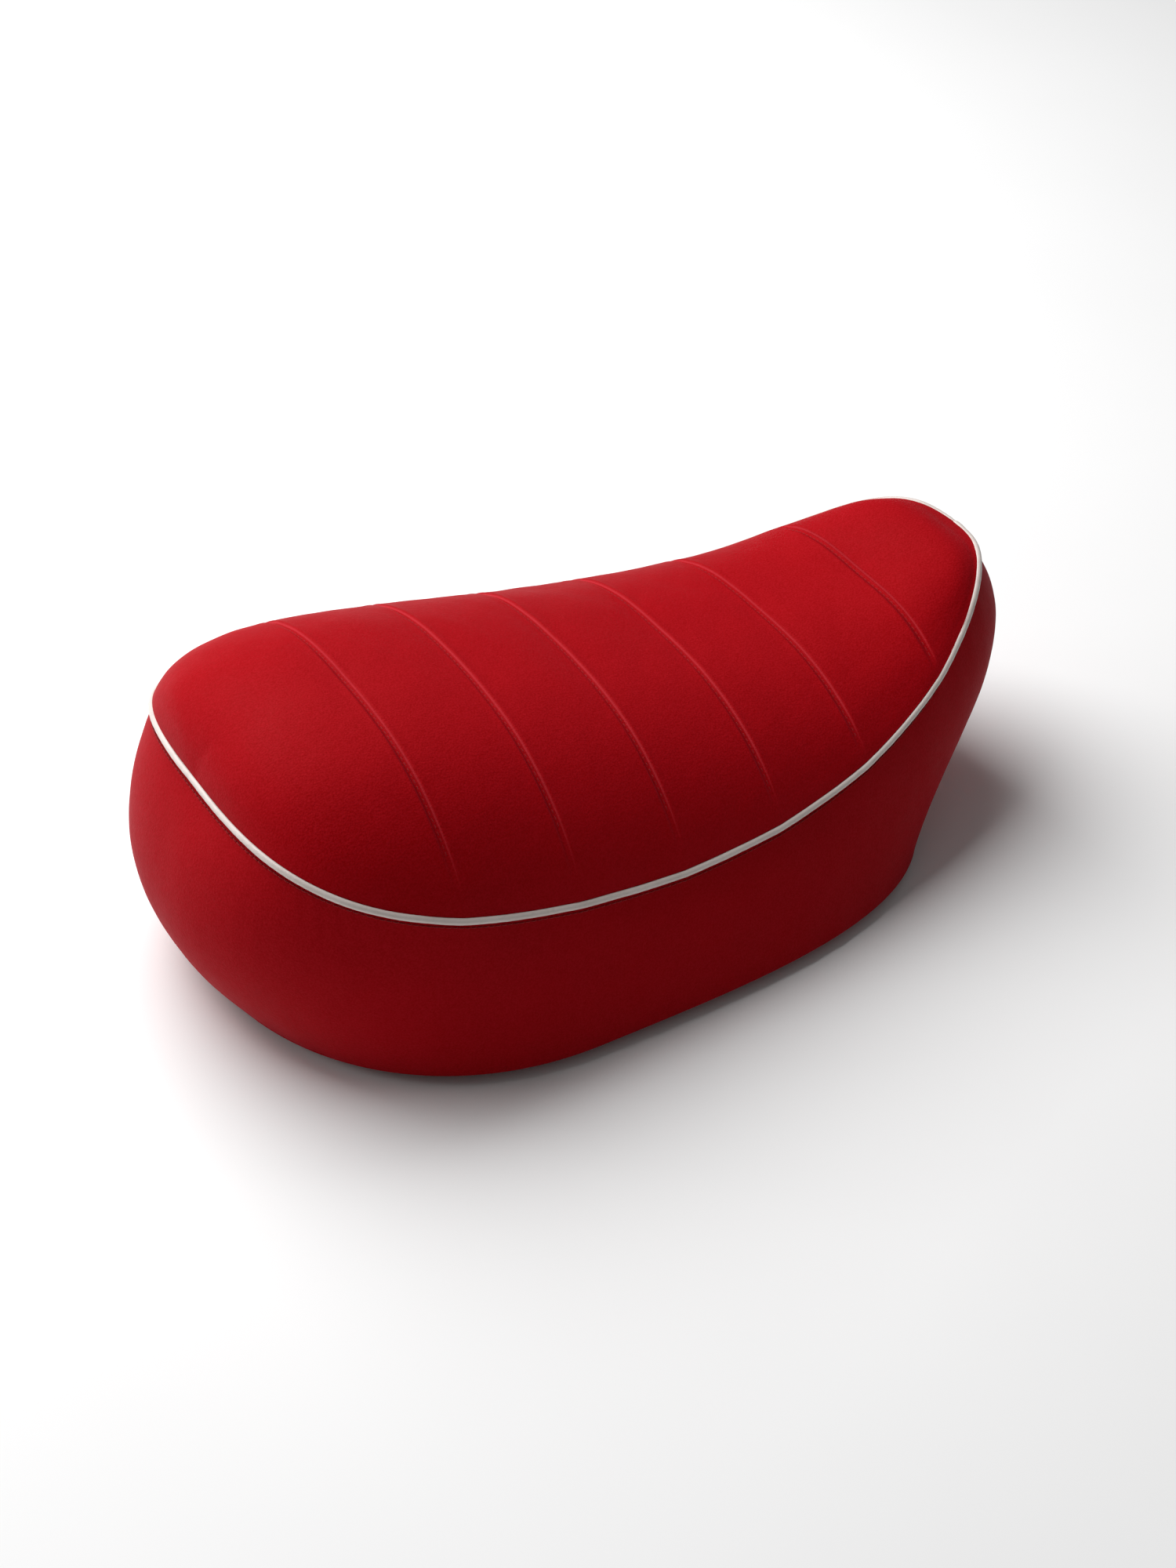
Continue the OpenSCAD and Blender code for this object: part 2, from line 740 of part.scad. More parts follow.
module staple(a) {
    e = pan_e + flange_w / 2;
    p = hem_pt(a, e);
    q = hem_pt(a + 1, e) - hem_pt(a - 1, e);
    translate([p[0], p[1], hem_z - gap])
        rotate([0, 0, atan2(q[1], q[0])])
            union() {
                translate([-staple_l / 2, -staple_t / 2, -staple_t])
                    cube([staple_l, staple_t, staple_t]);
                for (s = [-1, 1])
                    translate([s * (staple_l / 2 - staple_t / 2) - staple_t / 2, -staple_t / 2, -staple_t])
                        cube([staple_t, staple_t, staple_leg]);
            }
}

module staples() {
    color("silver")
        for (a = staple_angles())
            staple(a);
}

hinge_frame_leaf();
hinge_pin();
hinge_clip();
hinge_seat_leaf();
hinge_bush(1);  // hinge_bush_left
hinge_bush(-1);  // hinge_bush_right
hinge_bolts();
hinge_washers();
captive_nuts(bolt_places);  // hinge_nuts
striker_bar();
striker_plate();
striker_bolts();
captive_nuts(striker_places);  // striker_nuts
base_pan();
foam_core();
cover_top();
cover_side();
cover_hem();
piping();
seam_thread();
channel_threads();
staples();
buffer_at(0, 1);  // buffer_front_left
buffer_at(0, -1);  // buffer_front_right
buffer_at(1, 1);  // buffer_mid_left
buffer_at(1, -1);  // buffer_mid_right
buffer_at(2, 1);  // buffer_rear_left
buffer_at(2, -1);  // buffer_rear_right
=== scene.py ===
import math

import bmesh
import bpy
import numpy as np
from mathutils import Matrix, Vector


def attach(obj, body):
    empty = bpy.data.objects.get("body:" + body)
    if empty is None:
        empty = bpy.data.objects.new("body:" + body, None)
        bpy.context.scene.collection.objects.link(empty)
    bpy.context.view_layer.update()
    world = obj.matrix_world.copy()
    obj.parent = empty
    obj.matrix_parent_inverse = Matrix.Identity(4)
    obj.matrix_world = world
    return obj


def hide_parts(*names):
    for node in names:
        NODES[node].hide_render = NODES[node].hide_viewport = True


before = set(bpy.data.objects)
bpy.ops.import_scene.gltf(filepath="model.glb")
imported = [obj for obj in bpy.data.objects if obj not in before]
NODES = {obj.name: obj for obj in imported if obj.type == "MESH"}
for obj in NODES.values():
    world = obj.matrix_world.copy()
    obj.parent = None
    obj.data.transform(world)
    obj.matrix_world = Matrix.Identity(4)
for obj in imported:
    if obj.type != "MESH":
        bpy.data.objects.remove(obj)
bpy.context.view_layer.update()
SCENE = bpy.context.scene
RNG = np.random.default_rng(7)
MM = 0.001

# ---------------------------------------------------------------- camera
# Placed by fitting the saddle's seam, channels and outline to the photograph.
CAM_TARGET = Vector((-0.00058, 0.0, 0.0507))
CAM_AZIMUTH = math.radians(147.76)
CAM_ELEVATION = math.radians(38.51)
CAM_ROLL = math.radians(1.70)
CAM_DISTANCE = 1.7506
CAM_LENS = 61.23
CAM_SENSOR = 36.0
CAM_CLIP = (0.05, 50.0)


def add_camera():
    az, el = CAM_AZIMUTH, CAM_ELEVATION
    back = Vector((math.sin(az) * math.cos(el), -math.cos(az) * math.cos(el), math.sin(el)))
    right = Vector((math.cos(az), math.sin(az), 0.0))
    up = back.cross(right)
    right_r = right * math.cos(CAM_ROLL) + up * math.sin(CAM_ROLL)
    up_r = up * math.cos(CAM_ROLL) - right * math.sin(CAM_ROLL)
    data = bpy.data.cameras.new("camera")
    data.sensor_fit = "VERTICAL"
    data.sensor_height = CAM_SENSOR
    data.lens = CAM_LENS
    data.clip_start, data.clip_end = CAM_CLIP
    camera = bpy.data.objects.new("camera", data)
    place = Matrix((right_r, up_r, back)).transposed().to_4x4()
    place.translation = CAM_TARGET + back * CAM_DISTANCE
    camera.matrix_world = place
    SCENE.collection.objects.link(camera)
    SCENE.camera = camera


add_camera()

# ---------------------------------------------------------------- saddle shape, mm
# The same surfaces as in the CAD source, written for arrays of rim angles (0 nose, 180 tail).
SPLIT_X = 94.114
SEAM_FRONT, SEAM_REAR, SEAM_HALF = 178.08, 381.92, 151.5
HEM_FRONT, HEM_REAR, HEM_HALF = 180.08, 306.92, 176.5
SEAM_N = (3.15, 2.07)
HEM_N = (2.11, 3.28)
HEM_Z = 7.0
BAND_Z = 8.4
SEAM_LOW, SEAM_TILT, SEAM_RISE, SEAM_TWIST, SEAM_FLICK = 86.0, 7.0, 56.0, 9.6, 12.4
CROWN = (71.0, 51.12, 19.17, 39.05, 22.72)
CROWN_KICK, CROWN_KICK_N, CROWN_MIN = 230.75, 8.75, 2.0
CROWN_N = (4.05, 3.27)
CROWN_M = (0.5, 1.58)
SEAM_KICK, SEAM_KICK_N, SEAM_TIP, SEAM_TIP_N = 17.5, 5, 20.2, 20
SECTION_N, SECTION_TAIL, SECTION_M = 2.69, 2.16, 1.43
NOSE_BULGE, TAIL_BULGE, SIDE_BULGE = 30.0, 42.0, 1.0
BULGE_N, TAIL_BULGE_N = 4, 8.5
TAIL_P, TAIL_Q = 1.4, 1.04
CHANNEL_LEAD, CHANNEL_PITCH, CHANNELS = 80.08, 75.8, 6
LIP = 2.65
PIPING_R = 2.3
DECK_TOP = 32.0
PAN_INSET = 11.5
SECTION_TAIL_N = 4  # how late the section changes towards the tail
TUG_SIZE, TUG_SHARP, TUG_LEVEL, TUG_ENDS = 0.75, 2.2, 0.35, 0.5
TUG_INTO_TOP, TUG_INTO_BAND = 6, 3  # how fast the corners of the seam die out on each panel
END_INSET_N = 8


def bell(value, centre, width, n=2):
    return np.exp(-(((value - centre) / width) ** n))


def ramp(value, start, width):
    """0 up to start, then up to 1 over width."""
    return np.clip((value - start) / width, 0, 1)


def running_total(steps):
    return np.concatenate([[0], np.cumsum(steps)])


def run_along(path):
    """Distance along a path at each of its points."""
    return running_total(np.linalg.norm(np.diff(path, axis=0), axis=1))


def oval(a, front, rear, half, n_front, n_rear):
    c, s = np.cos(a), np.sin(a)
    n = np.where(c > 0, n_front, n_rear)
    reach = np.where(c > 0, front, rear)
    return (SPLIT_X + np.sign(c) * reach * np.abs(c) ** (2 / n),
            np.sign(s) * half * np.abs(s) ** (2 / n))


def seam_xy(a, e=0.0):
    return oval(a, SEAM_FRONT - e, SEAM_REAR - e, SEAM_HALF - e, *SEAM_N)


def hem_xy(a, e=0.0):
    return oval(a, HEM_FRONT - e, HEM_REAR - e, HEM_HALF - e, *HEM_N)


def seam_out(a):
    c, s = np.cos(a), np.sin(a)
    n = np.where(c > 0, *SEAM_N)
    reach = np.where(c > 0, SEAM_FRONT, SEAM_REAR)
    nx = np.sign(c) * np.abs(c) ** (2 - 2 / n) / reach
    ny = np.sign(s) * np.abs(s) ** (2 - 2 / n) / SEAM_HALF
    size = np.hypot(nx, ny)
    return nx / size, ny / size


def place_along(a):
    x, _ = seam_xy(a)
    return 2 * (x - SPLIT_X + SEAM_REAR) / (SEAM_FRONT + SEAM_REAR) - 1


def seam_z(a):
    u = place_along(a)
    tail = np.maximum(0, -u)
    return (HEM_Z + SEAM_LOW + SEAM_TILT * u + SEAM_RISE * u**2 - SEAM_TWIST * u**3 + SEAM_FLICK * u**4
            + SEAM_KICK * tail**SEAM_KICK_N - SEAM_TIP * tail**SEAM_TIP_N)


def crown(a):
    u = place_along(a)
    c0, c1, c2, c3, c4 = CROWN
    h = c0 + c1 * u - c2 * u**2 - c3 * u**3 + c4 * u**4
    h = h + CROWN_KICK * np.maximum(0, -u) ** CROWN_KICK_N
    falling = np.maximum(0, 1 - np.abs(u) ** np.where(u > 0, *CROWN_N)) ** np.where(u > 0, *CROWN_M)
    return np.maximum(CROWN_MIN, h * falling)


def section(a, v):
    n = SECTION_N + SECTION_TAIL * np.maximum(0, -place_along(a)) ** SECTION_TAIL_N
    return np.maximum(0, 1 - np.abs(v) ** n) ** (1 / SECTION_M)


def rise_over(a, v):
    """Height of the cushion above the seam, on the grid of rim angles a and rows v."""
    return crown(a)[:, None] * section(a[:, None], v[None])


def rim_angle(x):
    """Rim angle of the station at x, measured from where nose and tail halves meet."""
    if x > 0:
        return math.acos((x / SEAM_FRONT) ** (SEAM_N[0] / 2))
    return math.pi - math.acos((-x / SEAM_REAR) ** (SEAM_N[1] / 2))


CHANNEL_X = [CHANNEL_LEAD - i * CHANNEL_PITCH for i in range(CHANNELS)]


def seam_tug(a):
    """The seam runs straighter between the channels than the oval, with a soft corner at each."""
    x = seam_xy(a)[0] - SPLIT_X
    t = (CHANNEL_LEAD - x) / CHANNEL_PITCH
    inside = np.clip((t + 0.5) * 2, 0, 1) * np.clip((CHANNELS - 0.5 - t) * 2, 0, 1)
    corner = 1 - 2 * np.abs(t - np.round(t))
    return TUG_SIZE * inside * (corner**TUG_SHARP - TUG_LEVEL) * np.abs(np.sin(a)) ** TUG_ENDS


def seam_line(a, out=0.0):
    """Points on the seam, moved outward in plan."""
    x, y = seam_xy(a)
    nx, ny = seam_out(a)
    move = seam_tug(a) + out
    return np.stack([x + nx * move, y + ny * move, seam_z(a)], -1)


def bulge(a, r):
    """How far the band stands out: evenly at the nose and sides, high up at the tail."""
    c = np.cos(a)
    even = 4 * r * (1 - r)
    peak = TAIL_P / (TAIL_P + TAIL_Q)
    high = r**TAIL_P * (1 - r) ** TAIL_Q / (peak**TAIL_P * (1 - peak) ** TAIL_Q)
    ends = np.where(c > 0, even * NOSE_BULGE * c**BULGE_N,
                    high * TAIL_BULGE * np.abs(c) ** TAIL_BULGE_N)
    return even * SIDE_BULGE * np.sin(a) ** BULGE_N + ends


def band_points(a, r, e=0.0, z0=BAND_Z):
    """Side band: a and r are arrays that broadcast, r is 0 at the hem and 1 at the seam."""
    hx, hy = hem_xy(a, e)
    sx, sy = seam_xy(a, e)
    nx, ny = seam_out(a)
    tug = seam_tug(a) * r**TUG_INTO_BAND
    b = bulge(a, r)
    x = hx * (1 - r) + sx * r + b * np.cos(a) + nx * tug
    y = hy * (1 - r) + sy * r + b * np.sin(a) + ny * tug
    return np.stack([x, y, z0 + (seam_z(a) - LIP - z0) * r], -1)


def top_points(a, v, e=0.0):
    """Cushion top without its channels, at rim angles a (down) and rows v (across)."""
    a, v = a[:, None], v[None, :]
    x = seam_xy(a)[0] - np.sign(np.cos(a)) * e * np.abs(np.cos(a)) ** END_INSET_N
    y = seam_xy(a, e)[1]
    nx, ny = seam_out(a)
    tug = seam_tug(a) * np.abs(v) ** TUG_INTO_TOP
    c = crown(a) * section(a, v)
    h = c * (1 - e / (c + 2 * e + 0.01))
    z = seam_z(a) + np.sqrt(LIP**2 + np.maximum(0, h) ** 2)
    return np.stack(np.broadcast_arrays(x + nx * tug, y * v + ny * np.sign(v) * tug, z), -1)


# ---------------------------------------------------------------- mesh helpers
def make_object(name, points, faces, scale=MM):
    mesh = bpy.data.meshes.new(name)
    mesh.from_pydata((np.asarray(points).reshape(-1, 3) * scale).tolist(), [], faces)
    mesh.validate()
    mesh.shade_smooth()
    obj = bpy.data.objects.new(name, mesh)
    SCENE.collection.objects.link(obj)
    return obj


def grid_quads(n, m, wrap=False, flip=False):
    """Faces of a grid of n lines with m points each; wrap closes the lines into a ring."""
    faces = []
    for i in range(n if wrap else n - 1):
        k = (i + 1) % n
        for j in range(m - 1):
            f = [i * m + j, k * m + j, k * m + j + 1, i * m + j + 1]
            faces.append(f[::-1] if flip else f)
    return faces


def grid_ends(n, m):
    """The first and the last line of a grid, each as one face."""
    return [list(range(m))[::-1], [(n - 1) * m + j for j in range(m)]]


def rim_loop(a, m):
    """Point numbers round the rim of a grid of len(a) lines with m points, and their rim angles."""
    n = len(a)
    loop = [(i, m - 1) for i in range(n)] + [(i, 0) for i in range(n - 1, -1, -1)]
    return [i * m + j for i, j in loop], np.array([a[i] if j else -a[i] for i, j in loop])


def later_rings(first, start, times):
    """The ring of point numbers first, then others of the same count, numbered on from start."""
    count = len(first)
    return [first] + [[start + k * count + q for q in range(count)] for k in range(times)]


def ring_quads(rings):
    faces = []
    for upper, lower in zip(rings, rings[1:]):
        for q in range(len(upper)):
            k = (q + 1) % len(upper)
            faces.append([upper[q], upper[k], lower[k], lower[q]])
    return faces


def point_attribute(obj, name, values):
    attribute = obj.data.attributes.new(name, "FLOAT", "POINT")
    attribute.data.foreach_set("value", np.asarray(values, np.float32).ravel())


def tube(path, radius, sides, side_dir=(0.0, 0.0, 1.0)):
    """Points and faces of a closed tube along path; radius may vary along it."""
    path = np.asarray(path, float)
    n = len(path)
    radius = np.broadcast_to(radius, (n,))
    tangent = np.gradient(path, axis=0)
    tangent /= np.linalg.norm(tangent, axis=1)[:, None]
    b = np.cross(tangent, np.broadcast_to(side_dir, path.shape))
    b /= np.linalg.norm(b, axis=1)[:, None]
    c = np.cross(b, tangent)
    t = np.arange(sides) * 2 * math.pi / sides
    ring = b[:, None] * np.cos(t)[None, :, None] + c[:, None] * np.sin(t)[None, :, None]
    points = path[:, None] + ring * radius[:, None, None]
    faces = []
    for i in range(n - 1):
        for j in range(sides):
            k = (j + 1) % sides
            faces.append([i * sides + j, i * sides + k, (i + 1) * sides + k, (i + 1) * sides + j])
    return points.reshape(-1, 3), faces + grid_ends(n, sides)


def fix_normals(obj):
    bm = bmesh.new()
    bm.from_mesh(obj.data)
    bmesh.ops.recalc_face_normals(bm, faces=bm.faces)
    bm.to_mesh(obj.data)
    bm.free()


def soft_noise(points, scale, seed, octaves=2):
    """Smooth repeatable noise of a few sine waves, about -1 to 1, at points in mm."""
    rng = np.random.default_rng(seed)
    total = np.zeros(points.shape[:-1])
    for octave in range(octaves):
        for _ in range(5):
            k = rng.normal(size=3)
            k *= 2 * math.pi / scale * (2**octave) / np.linalg.norm(k) * rng.uniform(0.7, 1.4)
            total += np.sin(points @ k + rng.uniform(0, 6.28)) / (2.4 * 1.6**octave)
    return total / 1.6


# ---------------------------------------------------------------- cloth
CLOTH = {"quality": 6, "mass": 0.15, "tension_stiffness": 3.0, "compression_stiffness": 3.0,
         "shear_stiffness": 1.0, "bending_stiffness": 0.05, "tension_damping": 4.0,
         "air_damping": 1.0, "use_pressure": True, "vertex_group_mass": "pins"}
CLOTH_FRAMES = 20
INSIDE = (0.0, 0.0, 0.06)  # a place inside the saddle, metres
TINY = 1e-9


def face_values(obj, key):
    values = np.zeros(len(obj.data.polygons) * 3)
    obj.data.polygons.foreach_get(key, values)
    return values.reshape(-1, 3)


def puff_up(name, grid, pinned, wrap, pressure, cap):
    """Runs a pressurised cloth on a grid of points (mm) and gives each point's capped move (mm)."""
    n, m = grid.shape[:2]
    cloth = make_object(name, grid, grid_quads(n, m, wrap))
    fix_normals(cloth)
    if ((face_values(cloth, "center") - np.array(INSIDE)) * face_values(cloth, "normal")).sum() < 0:
        cloth.data.flip_normals()
    group = cloth.vertex_groups.new(name="pins")
    group.add([int(i) for i in np.flatnonzero(pinned.ravel())], 1.0, "REPLACE")
    modifier = cloth.modifiers.new("puff", "CLOTH")
    for key, value in CLOTH.items():
        setattr(modifier.settings, key, value)
    modifier.settings.uniform_pressure_force = pressure
    modifier.settings.effector_weights.gravity = 0.0
    modifier.point_cache.frame_start = 1
    modifier.point_cache.frame_end = CLOTH_FRAMES
    for step in range(1, CLOTH_FRAMES + 1):
        SCENE.frame_set(step)
    shaped = cloth.evaluated_get(bpy.context.evaluated_depsgraph_get())
    moved = np.zeros(n * m * 3)
    shaped.data.vertices.foreach_get("co", moved)
    moved = moved.reshape(n, m, 3) / MM - grid
    bpy.data.objects.remove(cloth)
    SCENE.frame_set(1)
    size = np.linalg.norm(moved, axis=-1, keepdims=True) + TINY
    print(f"{name} cloth moved up to {size.max():.2f} mm, mean {size.mean():.2f}")
    return moved * cap * np.tanh(size / cap) / size


def smooth_field(field, wrap=False):
    """Averages a grid's field with its neighbours; the ends stay free unless the grid wraps."""
    if wrap:
        before, after = np.roll(field, 1, 0), np.roll(field, -1, 0)
    else:
        before = np.concatenate([field[:1], field[:-1]])
        after = np.concatenate([field[1:], field[-1:]])
    field = 0.5 * field + 0.25 * (before + after)
    left = np.concatenate([field[:, :1], field[:, :-1]], 1)
    right = np.concatenate([field[:, 1:], field[:, -1:]], 1)
    return 0.5 * field + 0.25 * (left + right)


def cubic_rows(field, t, wrap=False):
    """Catmull-Rom samples of field's first axis at fractional rows t."""
    n = len(field)
    i = np.floor(t).astype(int)
    f = (t - i).reshape((-1,) + (1,) * (field.ndim - 1))
    near = [i + k for k in (-1, 0, 1, 2)]
    p0, p1, p2, p3 = (field[k % n if wrap else np.clip(k, 0, n - 1)] for k in near)
    cubic = 2 * p0 - 5 * p1 + 4 * p2 - p3 + f * (3 * (p1 - p2) + p3 - p0)
    return p1 + 0.5 * f * (p2 - p0 + f * cubic)


def resample(field, t_rows, t_cols, wrap=False):
    """Samples a grid's field at fractional lines and places."""
    half = cubic_rows(field, t_rows, wrap)
    return np.swapaxes(cubic_rows(np.swapaxes(half, 0, 1), t_cols), 0, 1)


# ---------------------------------------------------------------- cushion top
END_ANGLE = math.radians(0.6)
RIM_WEIGHT = 0.62  # stations are spaced by the crown, or by this share of the rim where that is longer
TOP_COARSE, TOP_FINE = 7.5, 2.9
TOP_PRESSURE, TOP_CAP = 12.0, 3.2
PINNED_WIDTH = 0.93
CALM_FROM, CALM_OVER = 0.72, 0.2
SETTLE, SETTLE_RISE = 1.7, 14
TAIL_SETTLE, TAIL_SETTLE_RISE, TAIL_FROM, TAIL_OVER = 3.2, 8, 0.70, 0.22
FADE_FROM, FADE_OVER, FADE_N = 0.70, 0.26, 1.5
# Painted shade line on the nose side of each channel's bottom and painted highlight line on its tail-side
# lip: centre and width, in mm.
PAINTED_SHADE_LINE, PAINTED_HIGHLIGHT_LINE = (1.2, 0.6), (-2.1, 0.34)  # centre and width, across each channel
PUCKER, PUCKER_PITCH, PUCKER_PLACE = 0.10, 3.1, (6.0, 5.0)
QUIET_RISE = 20
CURL = ((-0.5, 1.9), (-1.3, 1.2), (-2.6, 0.7), (-4.2, 0.6))  # outward and away from the seam


def spread_evenly(run, values, step):
    """Samples of values about step apart, where run holds the steps between the values."""
    s = running_total(run)
    return np.interp(np.linspace(0, s[-1], int(s[-1] / step)), s, values)


def even_stations(step):
    """Rim angles from nose to tail, about step mm apart along the rim and the crown."""
    a = np.linspace(END_ANGLE, math.pi - END_ANGLE, 6001)
    x, y = seam_xy(a)
    top = seam_z(a) + crown(a)
    rim = np.hypot(np.diff(x), np.diff(y)) * RIM_WEIGHT
    return spread_evenly(np.maximum(rim, np.hypot(np.diff(x), np.diff(top))), a, step)


def even_rows(step):
    """Row values from -1 to 1, about step mm apart across the widest station."""
    v = np.sin(np.linspace(-math.pi / 2, math.pi / 2, 4001))
    height = CROWN[0] * section(math.pi / 2, v)
    return spread_evenly(np.hypot(np.diff(v) * SEAM_HALF, np.diff(height)), v, step)


CHANNEL_A = [rim_angle(x) for x in CHANNEL_X]
GROOVE_HALF, GROOVE_FLAT, GROOVE_WALL, GROOVE_DEPTH = 3.1, 0.34, 0.66, 1.9
RIDGE, RIDGE_PLACE = 0.22, (0.9, 1.1)
GROOVE_STEPS = (0.0, 0.4, 0.8, 1.2, 1.6, 2.0, 2.4, 2.8, 3.2, 3.7, 4.4, 5.2)
GROOVE_CLEAR = 1.2


def fine_stations():
    """Even stations with a close bundle at each channel."""
    base = even_stations(TOP_FINE)
    x = seam_xy(base)[0] - SPLIT_X
    far = np.min(np.abs(x[:, None] - np.array(CHANNEL_X)[None]), 1) > GROOVE_STEPS[-1] + GROOVE_CLEAR
    extra = [rim_angle(c + side * g) for c in CHANNEL_X for g in GROOVE_STEPS
             for side in ((1,) if g == 0 else (1, -1))]
    return np.sort(np.concatenate([base[far], extra]))


def groove_profile(d):
    """Depth of a channel (mm) at distance d from its line: a flat bottom between soft shoulders."""
    t = np.clip(np.abs(d) / GROOVE_HALF, 0, 1)
    wall = ramp(t, GROOVE_FLAT, GROOVE_WALL)
    depth = 1 - wall * wall * (3 - 2 * wall)
    return GROOVE_DEPTH * depth - RIDGE * bell(np.abs(d) - GROOVE_HALF, *RIDGE_PLACE)


def relaxed_top(a, v):
    """The cushion's plain surface moved by a cloth that is pinned along the rim and the channels."""
    coarse, rows = even_stations(TOP_COARSE), even_rows(TOP_COARSE)
    for c in CHANNEL_A:
        coarse[np.argmin(np.abs(coarse - c))] = c
    grid = top_points(coarse, rows)
    pinned = np.zeros(grid.shape[:2], bool)
    pinned[:, [0, -1]] = True
    pinned[[0, -1]] = True
    for c in CHANNEL_A:
        pinned[int(np.argmin(np.abs(coarse - c))), np.abs(rows) < PINNED_WIDTH] = True
    move = puff_up("puff_top", grid, pinned, False, TOP_PRESSURE, TOP_CAP)
    move[pinned] = 0
    move = smooth_field(move)
    t_rows = np.interp(a, coarse, np.arange(len(coarse)))
    t_cols = np.interp(v, rows, np.arange(len(rows)))
    calm = 1 - ramp(-place_along(a)[:, None, None], CALM_FROM, CALM_OVER)
    return top_points(a, v) + resample(move, t_rows, t_cols) * calm


def channel_fields(a, v):
    """Depth of the channels, and marks for their painted shade line and their painted highlight line, on
    the grid.
    """
    fade = 1 - ramp(np.abs(v)[None], FADE_FROM, FADE_OVER) ** FADE_N
    x = seam_xy(a)[0] - SPLIT_X
    depth, dark, light = np.zeros((3, len(a), len(v)))
    for c in CHANNEL_X:
        d = (x - c)[:, None]
        depth += groove_profile(d) * fade
        dark += bell(d, *PAINTED_SHADE_LINE) * fade
        light += bell(d, *PAINTED_HIGHLIGHT_LINE) * fade
    return depth, dark, light


def creases(points, v, rise):
    """Little puckers where the channels pull on the cover, and a broad unevenness."""
    x = points[..., 0] - SPLIT_X
    near = np.zeros(x.shape)
    for c in CHANNEL_X:
        near += bell(np.abs(x - c), *PUCKER_PLACE) * (0.3 + 0.7 * np.abs(v)[None] ** 3)
    rib = np.sin(points[..., 1] / PUCKER_PITCH + 1.7 * soft_noise(points, 60, 3))
    puckers = PUCKER * near * rib * (0.5 + 0.5 * soft_noise(points, 34, 5))
    broad = 0.35 * soft_noise(points, 90, 11) + 0.14 * soft_noise(points, 28, 12)
    return (puckers + broad) * np.minimum(1, rise / QUIET_RISE)


def curled_edge(a, side):
    """Rings that take a panel's edge in behind the piping; side is 1 above the seam, -1 below.

    A thin dark line stays between the panel and the piping.
    """
    rings = []
    for out, z in CURL:
        p = seam_line(a, out)
        p[:, 2] += side * z
        rings.append(p)
    return rings


def build_top():
    a, v = fine_stations(), even_rows(TOP_FINE)
    n, m = len(a), len(v)
    points = relaxed_top(a, v)
    rise = rise_over(a, v)
    points[..., 2] -= SETTLE * np.minimum(1, rise / SETTLE_RISE)
    tail = ramp(-place_along(a)[:, None], TAIL_FROM, TAIL_OVER)
    points[..., 2] -= TAIL_SETTLE * np.minimum(1, rise / TAIL_SETTLE_RISE) * tail

    depth, dark, light = channel_fields(a, v)
    normal = np.cross(np.gradient(points, axis=0), np.gradient(points, axis=1))
    normal /= np.linalg.norm(normal, axis=-1, keepdims=True) + TINY
    normal *= np.sign(normal[n // 2, m // 2, 2])
    points = points + normal * (creases(points, v, rise) - depth)[..., None]

    first, loop_a = rim_loop(a, m)
    curl = curled_edge(loop_a, 1)
    rings = later_rings(first, n * m, len(curl))
    faces = grid_quads(n, m) + ring_quads(rings) + grid_ends(n, m)
    top = make_object("cushion_top", np.concatenate([points.reshape(-1, 3)] + curl), faces)
    fix_normals(top)
    near_rim = np.broadcast_to(ramp(np.abs(v), 0.9, 0.1), (n, m))
    hidden = np.zeros(len(first) * len(curl))
    # The channels' shade line is painted darker, and the curled edge behind the piping gets painted shade
    # too.
    point_attribute(top, "seat_painted_shade", np.concatenate([dark.ravel(), hidden + 1]))
    point_attribute(top, "seat_edge", np.concatenate([near_rim.ravel(), hidden + 1]))
    # Painted highlight on each channel's tail-side lip.
    point_attribute(top, "seat_painted_highlight", np.concatenate([light.ravel(), hidden]))
    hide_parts("cover_top")
    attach(top, "saddle")
    return top


# ---------------------------------------------------------------- side band
BAND_COARSE, BAND_FINE, BAND_LEVELS = 10.0, 3.0, 15
BAND_PRESSURE, BAND_CAP = 1.6, 1.8
BAND_CORNERS = ((52, 22), (150, 14))  # rim angle and width in degrees
HEM_WAVE, HEM_WAVE_UP, DRAG_LINE = 0.30, 0.25, 0.22


def rim_angles_even(step):
    """Closed set of rim angles from tail to tail, about step mm apart halfway up the band."""
    a = np.linspace(-math.pi, math.pi, 12001)
    x, y = (seam_xy(a)[k] * 0.5 + hem_xy(a)[k] * 0.5 for k in (0, 1))
    s = running_total(np.hypot(np.diff(x), np.diff(y)))
    count = int(s[-1] / step)
    return np.interp(np.arange(count) * s[-1] / count, s, a)


def relaxed_band(a, levels):
    """The band's plain surface moved by a cloth that is pinned along the hem and the seam."""
    coarse, coarse_levels = rim_angles_even(BAND_COARSE), np.linspace(0, 1, BAND_LEVELS)
    grid = band_points(coarse[:, None], coarse_levels[None])
    pinned = np.zeros(grid.shape[:2], bool)
    pinned[:, [0, -1]] = True
    move = puff_up("puff_band", grid, pinned, True, BAND_PRESSURE, BAND_CAP)
    move = smooth_field(move, wrap=True)
    move[pinned] = 0
    t_rows = np.interp(a, np.concatenate([coarse, [math.pi]]), np.arange(len(coarse) + 1))
    t_cols = levels * (BAND_LEVELS - 1)
    return band_points(a[:, None], levels[None]) + resample(move, t_rows, t_cols, True)


